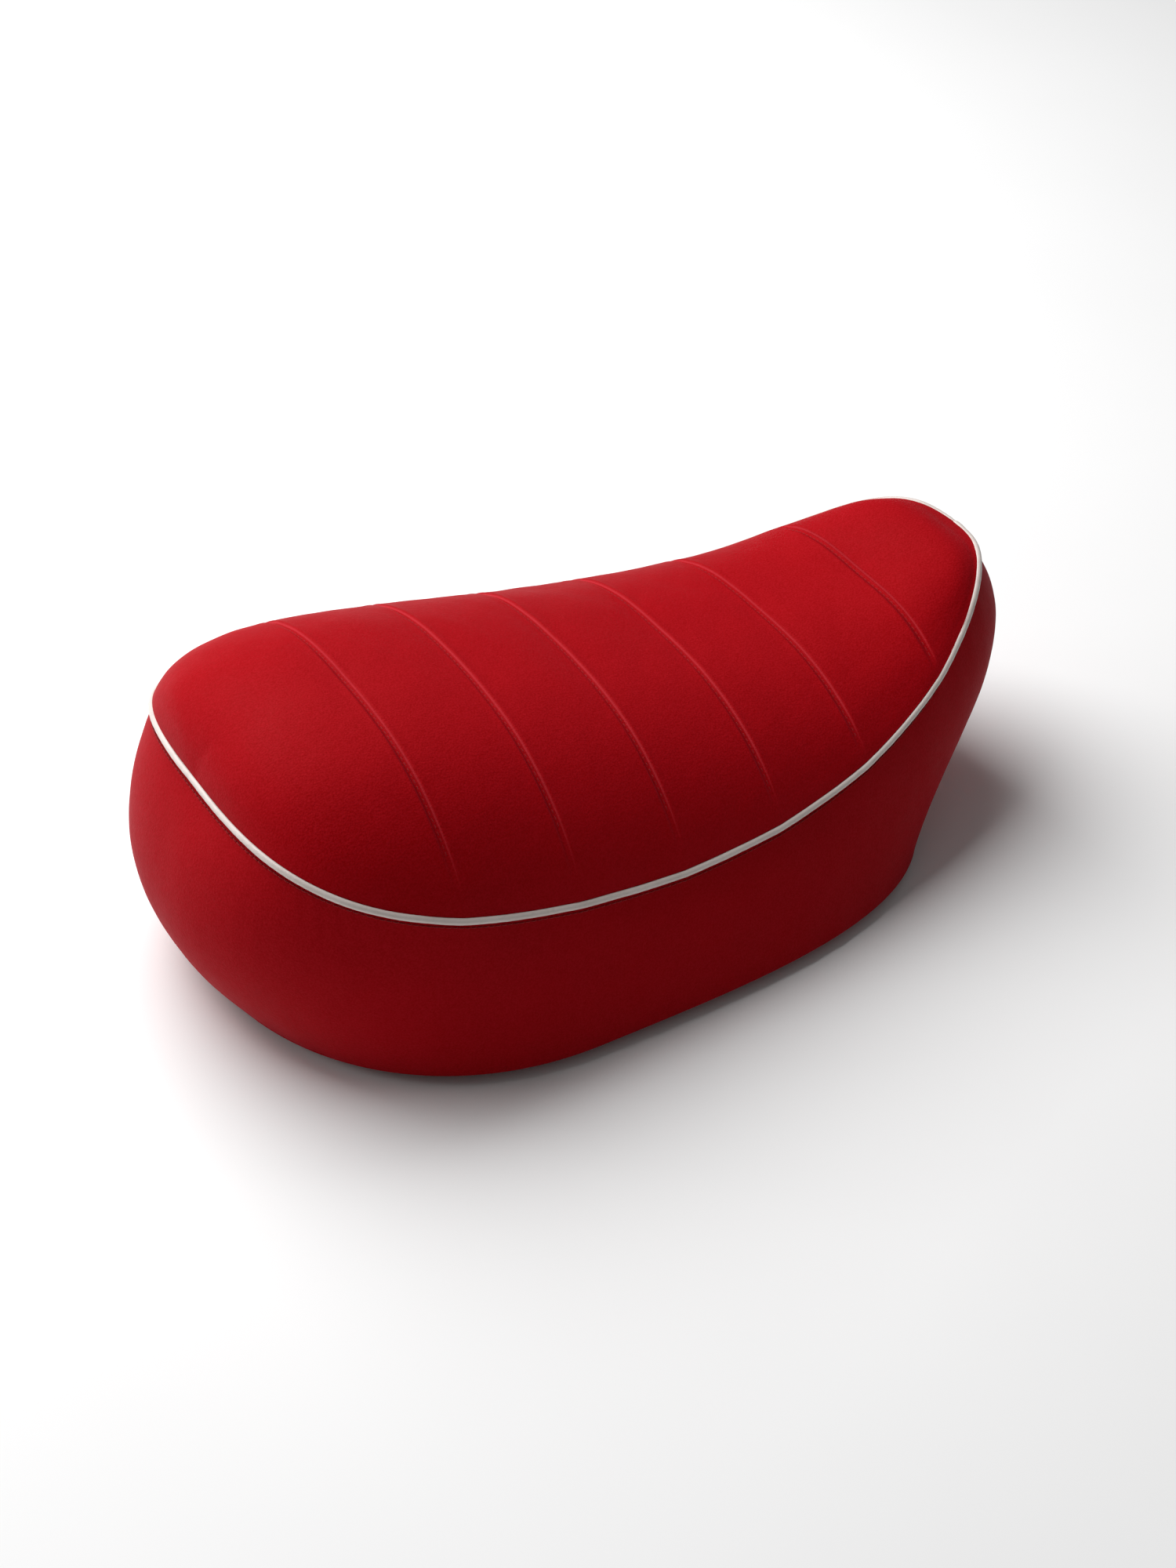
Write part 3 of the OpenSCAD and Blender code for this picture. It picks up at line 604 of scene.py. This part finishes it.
def drag_lines(points, a, r):
    """Soft pulls that rise from the staples, drag lines at the tight corners and an uneven hem."""
    along = running_total(np.hypot(*np.diff(np.stack(hem_xy(a), -1), axis=0).T))[:, None]
    total, turn = along[-1, 0], along * 2 * math.pi
    waves = (np.sin(turn * 41 / total + 1.3 * np.sin(turn * 7 / total))
             + 0.6 * np.sin(turn * 67 / total + 2.0))
    degrees = np.abs(np.degrees(a))
    corner = sum(bell(degrees, *place) for place in BAND_CORNERS)[:, None]
    ripple = HEM_WAVE * waves * np.exp(-r / 0.16) * (0.45 + 0.55 * soft_noise(points, 120, 21))
    drag = np.sin(turn * 95 / total + 5 * r)
    ripple += DRAG_LINE * corner * drag * np.exp(-((1 - r) / 0.2))
    ripple += 0.45 * soft_noise(points, 130, 22) * np.sin(math.pi * r) + 0.12 * soft_noise(points, 32, 23)
    return ripple, HEM_WAVE_UP * waves * np.exp(-r / 0.05)


def build_band():
    a = rim_angles_even(BAND_FINE)
    levels = np.concatenate([np.linspace(0, 0.06, 5)[:-1], np.linspace(0.06, 0.94, 36),
                             np.linspace(0.94, 1, 5)[1:]])
    points = relaxed_band(a, levels)
    ripple, up = drag_lines(points, a, levels[None])
    points[..., :2] += np.stack(seam_out(a), -1)[:, None] * ripple[..., None]
    points[..., 2] += up

    curl = curled_edge(a, -1)
    points = np.concatenate([points, np.stack(curl, 1)], 1)
    n, m = points.shape[:2]
    band = make_object("side_band", points, grid_quads(n, m, wrap=True))
    fix_normals(band)
    height = np.concatenate([levels, np.ones(len(curl))])
    near_rim = np.broadcast_to(ramp(height, 0.93, 0.07), (n, m))
    point_attribute(band, "seat_painted_shade", np.zeros((n, m)))
    point_attribute(band, "seat_edge", near_rim + np.exp(-height / 0.05)[None])
    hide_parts("cover_side")
    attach(band, "saddle")
    return a, points[:, 0]


# ---------------------------------------------------------------- folded hem under the pan
NOTCH_HALF, NOTCH_NOSE = 45.0, 260.2
HEM_WIDTH = 30.0
HEM_CORNERS = ((40, 24), (140, 20))
PLEAT, PLEAT_SHARP = 0.42, 1.5
# Share of the way in under the pan, and height there: fold, lower face, cut edge.
HEM_PROFILE = ((0.0, 7.7), (0.012, 7.25), (0.04, 7.0), (0.12, 7.0), (0.25, 7.02), (0.4, 7.05), (0.55, 7.05),
               (0.7, 7.05), (0.85, 7.1), (0.96, 7.1), (1.0, 7.12), (1.0, 7.7), (0.98, 8.15))


def build_hem(a, edge):
    """The cover folded under the pan flange: a rounded fold, pleats at the corners and a cut edge."""
    rings = [edge]
    total = len(a)
    idx = np.arange(total)
    turn = idx * 2 * math.pi
    pleat = np.sin(turn * 83 / total + 1.9 * np.sin(turn * 9 / total))
    degrees = np.abs(np.degrees(a))
    corner = np.clip(sum(bell(degrees, *place) for place in HEM_CORNERS), 0, 1)
    cut = HEM_WIDTH + 0.7 * np.sin(idx * 0.9) + 0.5 * np.sin(idx * 0.31 + 1)
    widest = cut.max()
    x, y = hem_xy(a)
    ix, iy = hem_xy(a, widest)
    for share, z in HEM_PROFILE:
        t = share * cut / widest
        px, py = x * (1 - t) + ix * t, y * (1 - t) + iy * t
        in_notch = (np.abs(py) < NOTCH_HALF) & (px > 0)
        px = np.where(in_notch, np.maximum(px, NOTCH_NOSE - 0.25 * np.sin(idx * 0.8)), px)
        height = np.full(total, z)
        if share < 1:
            swell = math.sin(math.pi * min(1, share * 1.05))
            height += PLEAT * (0.25 + corner) * np.abs(pleat) ** PLEAT_SHARP * swell
        rings.append(np.stack([px, py, height], -1))
    hem = make_object("folded_hem", np.stack(rings, 1), grid_quads(total, len(rings), wrap=True, flip=True))
    fix_normals(hem)
    point_attribute(hem, "seat_painted_shade", np.zeros(total * len(rings)))
    point_attribute(hem, "seat_edge", np.full(total * len(rings), 0.4))
    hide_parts("cover_hem")
    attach(hem, "saddle")


# ---------------------------------------------------------------- foam inside
FOAM_STEP, FOAM_INSET, FOAM_SETTLE = 11.0, 6.0, 3.5
FOAM_LEVELS = (0.96, 0.8, 0.6, 0.42, 0.3)
FLOOR_SHARES = (1.0, 0.75, 0.5, 0.25)
FLOOR_MIDDLE = (SPLIT_X - 40, 0)
FOAM_OFF_DECK, FOAM_OFF_WALL = 0.4, 2.0


def build_foam():
    """Closed foam block, seen only through the vents in the pan."""
    a, v = even_stations(FOAM_STEP), even_rows(FOAM_STEP)
    n, m = len(a), len(v)
    top = top_points(a, v, FOAM_INSET)
    top[..., 2] -= FOAM_SETTLE * np.minimum(1, rise_over(a, v) / SETTLE_RISE)
    first, loop_a = rim_loop(a, m)
    parts = [top.reshape(-1, 3)]
    for r in FOAM_LEVELS:
        p = band_points(loop_a, np.full(len(loop_a), r), FOAM_INSET)
        p[:, 2] = np.maximum(p[:, 2], DECK_TOP + 0.6)
        parts.append(p)
    floor_xy = np.stack(hem_xy(loop_a, PAN_INSET + FOAM_OFF_WALL), -1)
    for share in FLOOR_SHARES:
        p = np.concatenate([(floor_xy - FLOOR_MIDDLE) * share + FLOOR_MIDDLE,
                            np.full((len(first), 1), DECK_TOP + FOAM_OFF_DECK)], 1)
        p[:, 2] += 0.15 * (1 + soft_noise(p, 18, 31)) * (share < 1)
        parts.append(p)
    rings = later_rings(first, n * m, len(parts) - 1)
    faces = grid_quads(n, m) + ring_quads(rings) + [rings[-1]] + grid_ends(n, m)
    foam = make_object("foam_block", np.concatenate(parts), faces)
    fix_normals(foam)
    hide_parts("foam_core")
    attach(foam, "saddle")


# ---------------------------------------------------------------- piping and threads
PIPING_STEP, PIPING_SIDES, PIPING_OUT = 2.2, 18, 0.2
TAIL_LIFT, TAIL_LIFT_WIDTH = 0.7, 0.35
LAP, LAP_SHARES = 3.4, (0.35, 0.62, 0.82, 0.94, 0.995)
THREAD_SIDES = 6
SEAM_DROP, SEAM_OUT, SEAM_END = 2.2, 0.35, 0.004
SEAM_PITCH, SEAM_STITCH_L, SEAM_THREAD_R, SEAM_SLANT = 4.0, 3.1, 0.33, 0.05
CHANNEL_MARGIN, STITCH_PITCH, CHANNEL_STITCH_L, CHANNEL_THREAD_R = 3.0, 4.2, 3.3, 0.27
CHANNEL_SINK, THREAD_REACH, PROBE_STEP = 0.42, 0.93, 1.6
# Places along a stitch, as shares of its length, and how high it stands there.
SEAM_STITCH = ((-0.5, -0.55), (-0.42, 0.15), (-0.2, 0.55), (0.2, 0.55), (0.42, 0.15), (0.5, -0.55))
CHANNEL_STITCH = ((-0.5, -0.9), (-0.4, -0.5), (-0.2, -0.25), (0.2, -0.25), (0.4, -0.5), (0.5, -0.9))


def build_piping():
    """One length of welt cord round the seam, lapped over itself at the middle of the tail."""
    a = np.concatenate([rim_angles_even(PIPING_STEP), [math.pi]])
    path = seam_line(a)
    wobble = 0.10 * soft_noise(path, 40, 41) + 0.05 * np.sin(np.arange(len(a)) * 1.9)
    nx, ny = seam_out(a)
    path[:, 0] += nx * (PIPING_OUT + wobble)
    path[:, 1] += ny * (PIPING_OUT + wobble)
    path[:, 2] += 0.12 * soft_noise(path, 55, 42) + TAIL_LIFT * bell(np.abs(a), math.pi, TAIL_LIFT_WIDTH)
    radius = PIPING_R * (1 + 0.018 * soft_noise(path, 21, 43))
    # The last part lies over the first: it is folded back, so it is a little thicker and blunt.
    distance = run_along(path)
    radius = radius * (1 + 0.16 * bell(distance[-1] - distance, 0, 7.0, 4))
    radius = radius * (1 - 0.10 * bell(distance, 0, 5.0, 4))
    tangent = path[-1] - path[-2]
    tangent /= np.linalg.norm(tangent)
    path = np.concatenate([path, [path[-1] + tangent * LAP * s for s in LAP_SHARES]])
    radius = np.concatenate([radius, [radius[-1] * math.sqrt(1 - s * s) for s in LAP_SHARES]])
    cord = make_object("piping_cord", *tube(path, radius, PIPING_SIDES))
    fix_normals(cord)
    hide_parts("piping")
    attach(cord, "saddle")


def each_stitch(path, out, margin, pitch, length, profile):
    """For each stitch of a dashed row along path: its points on the path and the way out there."""
    s = run_along(path)
    for centre in np.arange(margin, s[-1] - margin, pitch):
        at = [centre + along * length for along, _ in profile]
        yield [np.stack([np.interp(at, s, line[:, k]) for k in range(3)], -1) for line in (path, out)]


def thread_tubes(lines, radius, side_dir):
    points, faces, start = [], [], 0
    for line in lines:
        ring_points, ring_faces = tube(line, radius, THREAD_SIDES, side_dir)
        points.append(ring_points)
        faces.extend([[start + q for q in f] for f in ring_faces])
        start += len(ring_points)
    return np.concatenate(points), faces


def build_seam_thread():
    """A row of small stitches just under the piping, each a little uneven in how far it stands out."""
    a = np.linspace(-math.pi + SEAM_END, math.pi - SEAM_END, 1400)
    path = band_points(a, 1 - SEAM_DROP / (seam_z(a) - LIP - BAND_Z))
    nx, ny = seam_out(a)
    out = np.stack([nx, ny, 0.1 * np.ones_like(nx)], -1)
    path[:, :2] += SEAM_OUT * out[:, :2]
    rise = np.array([up for _, up in SEAM_STITCH])[:, None]
    lines = [p + o * (rise * SEAM_THREAD_R * 1.5 + RNG.normal(0, SEAM_SLANT))
             for p, o in each_stitch(path, out, SEAM_PITCH, SEAM_PITCH, SEAM_STITCH_L, SEAM_STITCH)]
    row = make_object("seam_stitches", *thread_tubes(lines, SEAM_THREAD_R, (0.0, 0.0, 1.0)))
    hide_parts("seam_thread")
    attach(row, "saddle")


def channel_bottoms(top):
    """The bottom of each channel and the way up there, measured on the finished cover."""
    bpy.context.view_layer.update()
    y_max = SEAM_HALF * THREAD_REACH
    for c in CHANNEL_X:
        line = []
        for y in np.arange(-y_max, y_max, PROBE_STEP):
            above = Vector(((SPLIT_X + c) * MM, y * MM, 0.5))
            hit, where, _, _ = top.ray_cast(above, Vector((0, 0, -1)))
            if hit:
                line.append(np.array(where) / MM)
        line = np.array(line)
        reach = np.abs(line[:, 1])
        line = line[reach < reach.max() * THREAD_REACH]
        up = np.cross(np.array([1.0, 0, 0])[None], np.gradient(line, axis=0))
        up *= np.sign(up[:, 2:3])
        up /= np.linalg.norm(up, axis=1)[:, None]
        yield line, up


def build_channel_threads(top):
    """Stitches that lie sunk in the channels."""
    rise = np.array([up for _, up in CHANNEL_STITCH])[:, None]
    lines = [p + o * rise * CHANNEL_SINK for line, up in channel_bottoms(top) for p, o in each_stitch(
        line, up, CHANNEL_MARGIN, STITCH_PITCH, CHANNEL_STITCH_L, CHANNEL_STITCH)]
    row = make_object("channel_stitches", *thread_tubes(lines, CHANNEL_THREAD_R, (1.0, 0.0, 0.0)))
    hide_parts("channel_threads")
    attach(row, "saddle")


# ---------------------------------------------------------------- materials
class Shader:
    """A node material with a few short helpers; every texture reads the piece's own coordinates."""

    def __init__(self, name, **sockets):
        self.material = bpy.data.materials.new(name)
        self.material.use_nodes = True
        self.tree = self.material.node_tree
        self.bsdf = self.tree.nodes["Principled BSDF"]
        self.coords = self.tree.nodes.new("ShaderNodeTexCoord").outputs["Object"]
        for socket, value in sockets.items():
            self.bsdf.inputs[socket.replace("_", " ")].default_value = value

    def node(self, kind, **settings):
        node = self.tree.nodes.new(kind)
        for key, value in settings.items():
            setattr(node, key, value)
        return node

    def link(self, a, b):
        self.tree.links.new(a, b)

    def noise(self, scale, detail=3.0, roughness=0.55, stretch=None):
        node = self.node("ShaderNodeTexNoise")
        node.inputs["Scale"].default_value = scale
        node.inputs["Detail"].default_value = detail
        node.inputs["Roughness"].default_value = roughness
        self.link(self.stretched(stretch), node.inputs["Vector"])
        return node.outputs["Fac"]

    def stretched(self, stretch):
        if stretch is None:
            return self.coords
        mapping = self.node("ShaderNodeMapping")
        mapping.inputs["Scale"].default_value = stretch
        self.link(self.coords, mapping.inputs["Vector"])
        return mapping.outputs["Vector"]

    def cells(self, scale, feature="F1"):
        node = self.node("ShaderNodeTexVoronoi", feature=feature)
        node.inputs["Scale"].default_value = scale
        self.link(self.coords, node.inputs["Vector"])
        return node.outputs["Distance"]

    def attribute(self, name):
        return self.node("ShaderNodeAttribute", attribute_name=name).outputs["Fac"]

    def curve(self, fac, low, high, to_low=0.0, to_high=1.0):
        node = self.node("ShaderNodeMapRange", clamp=True)
        self.link(fac, node.inputs["Value"])
        for key, value in (("From Min", low), ("From Max", high), ("To Min", to_low), ("To Max", to_high)):
            node.inputs[key].default_value = value
        return node.outputs["Result"]

    def math(self, operation, a, b):
        node = self.node("ShaderNodeMath", operation=operation)
        for value, socket in ((a, node.inputs[0]), (b, node.inputs[1])):
            if isinstance(value, (int, float)):
                socket.default_value = value
            else:
                self.link(value, socket)
        return node.outputs["Value"]

    def mix(self, fac, a, b):
        node = self.node("ShaderNodeMix", data_type="RGBA")
        self.link(fac, node.inputs["Factor"])
        for value, socket in ((a, node.inputs[6]), (b, node.inputs[7])):
            if isinstance(value, tuple):
                socket.default_value = (*value, 1.0)
            else:
                self.link(value, socket)
        return node.outputs[2]

    def bump(self, height, strength, distance, under=None):
        node = self.node("ShaderNodeBump")
        node.inputs["Strength"].default_value = strength
        node.inputs["Distance"].default_value = distance
        self.link(height, node.inputs["Height"])
        if under is not None:
            self.link(under, node.inputs["Normal"])
        return node.outputs["Normal"]

    def finish(self, color, roughness, normal=None):
        for value, socket in ((color, "Base Color"), (roughness, "Roughness"), (normal, "Normal")):
            if value is not None:
                self.link(value, self.bsdf.inputs[socket])
        return self.material


def red_cover():
    s = Shader("red_cover_vinyl", Specular_IOR_Level=0.05, Specular_Tint=(1.0, 0.25, 0.30, 1.0),
               Sheen_Weight=0.03, Sheen_Roughness=0.5, Sheen_Tint=(1.0, 0.36, 0.62, 1.0))
    broad = s.curve(s.noise(9.0, 2.0), 0.3, 0.7)
    cloudy = s.curve(s.noise(70.0, 3.0), 0.3, 0.7)
    speck = s.curve(s.noise(900.0, 2.0), 0.35, 0.65)
    base = s.mix(broad, (0.290, 0.0009, 0.0020), (0.322, 0.0012, 0.0028))
    base = s.mix(s.math("MULTIPLY", cloudy, 0.30), base, (0.268, 0.0007, 0.0014))
    base = s.mix(s.math("MULTIPLY", speck, 0.50), base, (0.420, 0.0060, 0.0130))
    # Painted shade: darker red along each channel's shade line and on the curled edge behind the piping.
    base = s.mix(s.math("MULTIPLY", s.attribute("seat_painted_shade"), 0.55), base, (0.150, 0.0004, 0.0014))
    # Painted highlight: lighter pink red on each channel's tail-side lip.
    base = s.mix(s.math("MULTIPLY", s.attribute("seat_painted_highlight"), 0.60), base, (0.620, 0.0450, 0.0600))
    worn = s.math("MULTIPLY", s.attribute("seat_edge"), s.curve(s.noise(45.0, 4.0), 0.4, 0.7))
    base = s.mix(s.math("MULTIPLY", worn, 0.10), base, (0.400, 0.0100, 0.0180))
    grain = s.cells(820.0, "SMOOTH_F1")
    fine = s.noise(2600.0, 2.0)
    wrinkles = s.noise(240.0, 4.0, 0.65)
    rough = s.curve(s.math("ADD", s.math("MULTIPLY", wrinkles, 0.6), s.math("MULTIPLY", broad, 0.4)),
                    0.3, 0.7, 0.58, 0.72)
    normal = s.bump(wrinkles, 0.22, 0.0006)
    normal = s.bump(grain, 0.35, 0.00035, normal)
    normal = s.bump(fine, 0.12, 0.0001, normal)
    return s.finish(base, rough, normal)


def piping_vinyl():
    s = Shader("piping_grey_vinyl", Specular_IOR_Level=0.45, Coat_Weight=0.12, Coat_Roughness=0.35)
    tone = s.curve(s.noise(30.0, 3.0), 0.3, 0.7)
    dirt = s.curve(s.noise(160.0, 4.0, 0.7), 0.52, 0.8)
    # The pink cast in both tones is partly painted red bounce light from the cover.
    base = s.mix(tone, (0.61, 0.53, 0.49), (0.71, 0.635, 0.595))
    base = s.mix(s.math("MULTIPLY", dirt, 0.35), base, (0.40, 0.34, 0.30))
    rough = s.curve(s.noise(210.0, 3.0), 0.3, 0.7, 0.34, 0.50)
    return s.finish(base, rough, s.bump(s.noise(420.0, 3.0), 0.2, 0.0003))


def thread():
    s = Shader("red_thread_twist", Specular_IOR_Level=0.2, Sheen_Weight=0.1)
    twist = s.node("ShaderNodeTexWave", bands_direction="DIAGONAL")
    twist.inputs["Scale"].default_value = 900.0
    s.link(s.coords, twist.inputs["Vector"])
    base = s.mix(twist.outputs["Fac"], (0.23, 0.0012, 0.003), (0.31, 0.002, 0.005))
    rough = s.curve(s.noise(900.0), 0.3, 0.7, 0.6, 0.8)
    return s.finish(base, rough, s.bump(twist.outputs["Fac"], 0.5, 0.0002))


def foam():
    s = Shader("foam_open_cell", Specular_IOR_Level=0.1)
    cells = s.cells(520.0)
    base = s.mix(s.curve(cells, 0.1, 0.6), (0.72, 0.60, 0.36), (0.48, 0.37, 0.19))
    return s.finish(base, s.curve(s.noise(60.0), 0.3, 0.7, 0.85, 0.95), s.bump(cells, 0.8, 0.0012))


def pan_plastic():
    s = Shader("pan_moulded_black", Specular_IOR_Level=0.4)
    tone = s.curve(s.noise(26.0, 3.0), 0.3, 0.7)
    scuff = s.curve(s.noise(55.0, 5.0, 0.7, (1.0, 6.0, 1.0)), 0.58, 0.78)
    base = s.mix(tone, (0.014, 0.014, 0.015), (0.024, 0.024, 0.025))
    base = s.mix(s.math("MULTIPLY", scuff, 0.4), base, (0.075, 0.075, 0.075))
    pits = s.cells(1100.0)
    rough = s.curve(s.noise(130.0, 3.0), 0.3, 0.7, 0.48, 0.66)
    return s.finish(base, rough, s.bump(pits, 0.3, 0.0002, s.bump(s.noise(14.0), 0.15, 0.002)))


def plated_steel(name, light, dark, low, high, brushed):
    s = Shader(name, Metallic=1.0)
    spangle = s.curve(s.cells(260.0), 0.1, 0.7)
    stain = s.curve(s.noise(48.0, 4.0, 0.6), 0.5, 0.75)
    base = s.mix(spangle, light, dark)
    base = s.mix(s.math("MULTIPLY", stain, 0.5), base, tuple(0.55 * c for c in dark))
    lines = s.noise(700.0, 2.0, 0.5, brushed)
    both = s.math("ADD", s.math("MULTIPLY", lines, 0.5), s.math("MULTIPLY", stain, 0.5))
    rough = s.curve(both, 0.2, 0.8, low, high)
    return s.finish(base, rough, s.bump(lines, 0.18, 0.0002))


def nylon():
    s = Shader("nylon_natural", Subsurface_Weight=0.12, Specular_IOR_Level=0.4)
    s.bsdf.inputs["Subsurface Radius"].default_value = (0.0015, 0.0012, 0.0009)
    base = s.mix(s.curve(s.noise(120.0), 0.3, 0.7), (0.74, 0.71, 0.60), (0.62, 0.58, 0.46))
    rough = s.curve(s.noise(300.0), 0.3, 0.7, 0.35, 0.5)
    return s.finish(base, rough, s.bump(s.noise(500.0), 0.15, 0.0002))


def rubber():
    s = Shader("buffer_rubber_black", Specular_IOR_Level=0.3)
    bloom = s.curve(s.noise(75.0, 4.0, 0.65), 0.5, 0.75)
    base = s.mix(bloom, (0.011, 0.011, 0.012), (0.040, 0.040, 0.042))
    rough = s.curve(s.noise(220.0), 0.3, 0.7, 0.62, 0.82)
    return s.finish(base, rough, s.bump(s.noise(900.0, 3.0), 0.35, 0.0003))


def floor_paper():
    s = Shader("floor_paper", Specular_IOR_Level=0.05)
    base = s.mix(s.curve(s.noise(3.0), 0.3, 0.7), (0.900, 0.900, 0.900), (0.915, 0.915, 0.915))
    return s.finish(base, s.curve(s.noise(8.0), 0.3, 0.7, 0.88, 0.95))


def paint(obj, material):
    """Gives a new piece, or a CAD node that stays, its material."""
    if obj.material_slots:
        for s in obj.material_slots:
            s.material = material
    else:
        obj.data.materials.append(material)


# Steel finishes: light and dark tone, lowest and highest roughness, direction of the brushing.
STEELS = {
    "zinc_plated_steel": ((0.62, 0.62, 0.60), (0.46, 0.46, 0.45), 0.30, 0.52, (1.0, 9.0, 1.0)),
    "bright_turned_steel": ((0.72, 0.72, 0.71), (0.58, 0.58, 0.58), 0.18, 0.36, (9.0, 1.0, 9.0)),
    "spring_steel_blued": ((0.20, 0.20, 0.22), (0.11, 0.11, 0.12), 0.34, 0.55, (1.0, 1.0, 9.0)),
    "staple_wire": ((0.66, 0.66, 0.64), (0.50, 0.49, 0.46), 0.28, 0.48, (1.0, 9.0, 9.0)),
}
COVER_PIECES = ("cushion_top", "side_band", "folded_hem")
ZINC_PIECES = ("hinge_frame_leaf", "hinge_seat_leaf", "striker_plate", "hinge_washers")
BRIGHT_PIECES = ("hinge_pin", "hinge_bolts", "hinge_nuts", "striker_bar", "striker_bolts", "striker_nuts")


def paint_all():
    for names, material in (
        (COVER_PIECES, red_cover()),
        (("piping_cord",), piping_vinyl()),
        (("foam_block",), foam()),
        (("seam_stitches", "channel_stitches"), thread()),
    ):
        for name in names:
            paint(bpy.data.objects[name], material)
    zinc, bright, dark, wire = (plated_steel(name, *look) for name, look in STEELS.items())
    for names, material in (
        (ZINC_PIECES, zinc),
        (BRIGHT_PIECES, bright),
        (("hinge_clip",), dark),
        (("staples",), wire),
        (("hinge_bush_left", "hinge_bush_right"), nylon()),
        (("base_pan",), pan_plastic()),
        (tuple(n for n in NODES if n.startswith("buffer_")), rubber()),
    ):
        for name in names:
            paint(NODES[name], material)


# ---------------------------------------------------------------- stage and light
FLOOR_HALF, FLOOR_LINES, FLOOR_DROP = 6.0, 25, 0.0006
WORLD_STRENGTH = 0.14
# Name, place, what it points at, size and power.
LIGHTS = (
    ("key_overhead", (0.45, -1.30, 2.0), (0.0, 0.0, 0.08), (2.2, 2.2), 90.0),
    ("nose_fill", (1.8, -1.1, 0.8), (0.0, 0.0, 0.10), (0.9, 0.8), 8.0),
)


def add_light(name, where, aim, size, power):
    data = bpy.data.lights.new(name, "AREA")
    data.shape = "RECTANGLE"
    data.size, data.size_y = size
    data.energy = power
    light = bpy.data.objects.new(name, data)
    light.location = where
    light.rotation_euler = (Vector(aim) - Vector(where)).to_track_quat("-Z", "Y").to_euler()
    SCENE.collection.objects.link(light)


def build_stage():
    axis = np.linspace(-FLOOR_HALF, FLOOR_HALF, FLOOR_LINES)
    gx, gy = np.meshgrid(axis, axis, indexing="ij")
    points = np.stack([gx, gy, np.full_like(gx, -FLOOR_DROP)], -1)
    floor = make_object("floor", points, grid_quads(FLOOR_LINES, FLOOR_LINES), scale=1.0)
    fix_normals(floor)
    if floor.data.polygons[0].normal.z < 0:
        floor.data.flip_normals()
    paint(floor, floor_paper())
    world = bpy.data.worlds.new("studio")
    world.use_nodes = True
    background = world.node_tree.nodes["Background"]
    background.inputs["Color"].default_value = (1.0, 1.0, 1.0, 1.0)
    background.inputs["Strength"].default_value = WORLD_STRENGTH
    SCENE.world = world
    for light in LIGHTS:
        add_light(*light)
    SCENE.view_settings.view_transform = "Standard"


# ---------------------------------------------------------------- build
top = build_top()
rim, edge = build_band()
build_hem(rim, edge)
build_foam()
build_piping()
build_seam_thread()
build_channel_threads(top)
paint_all()
build_stage()
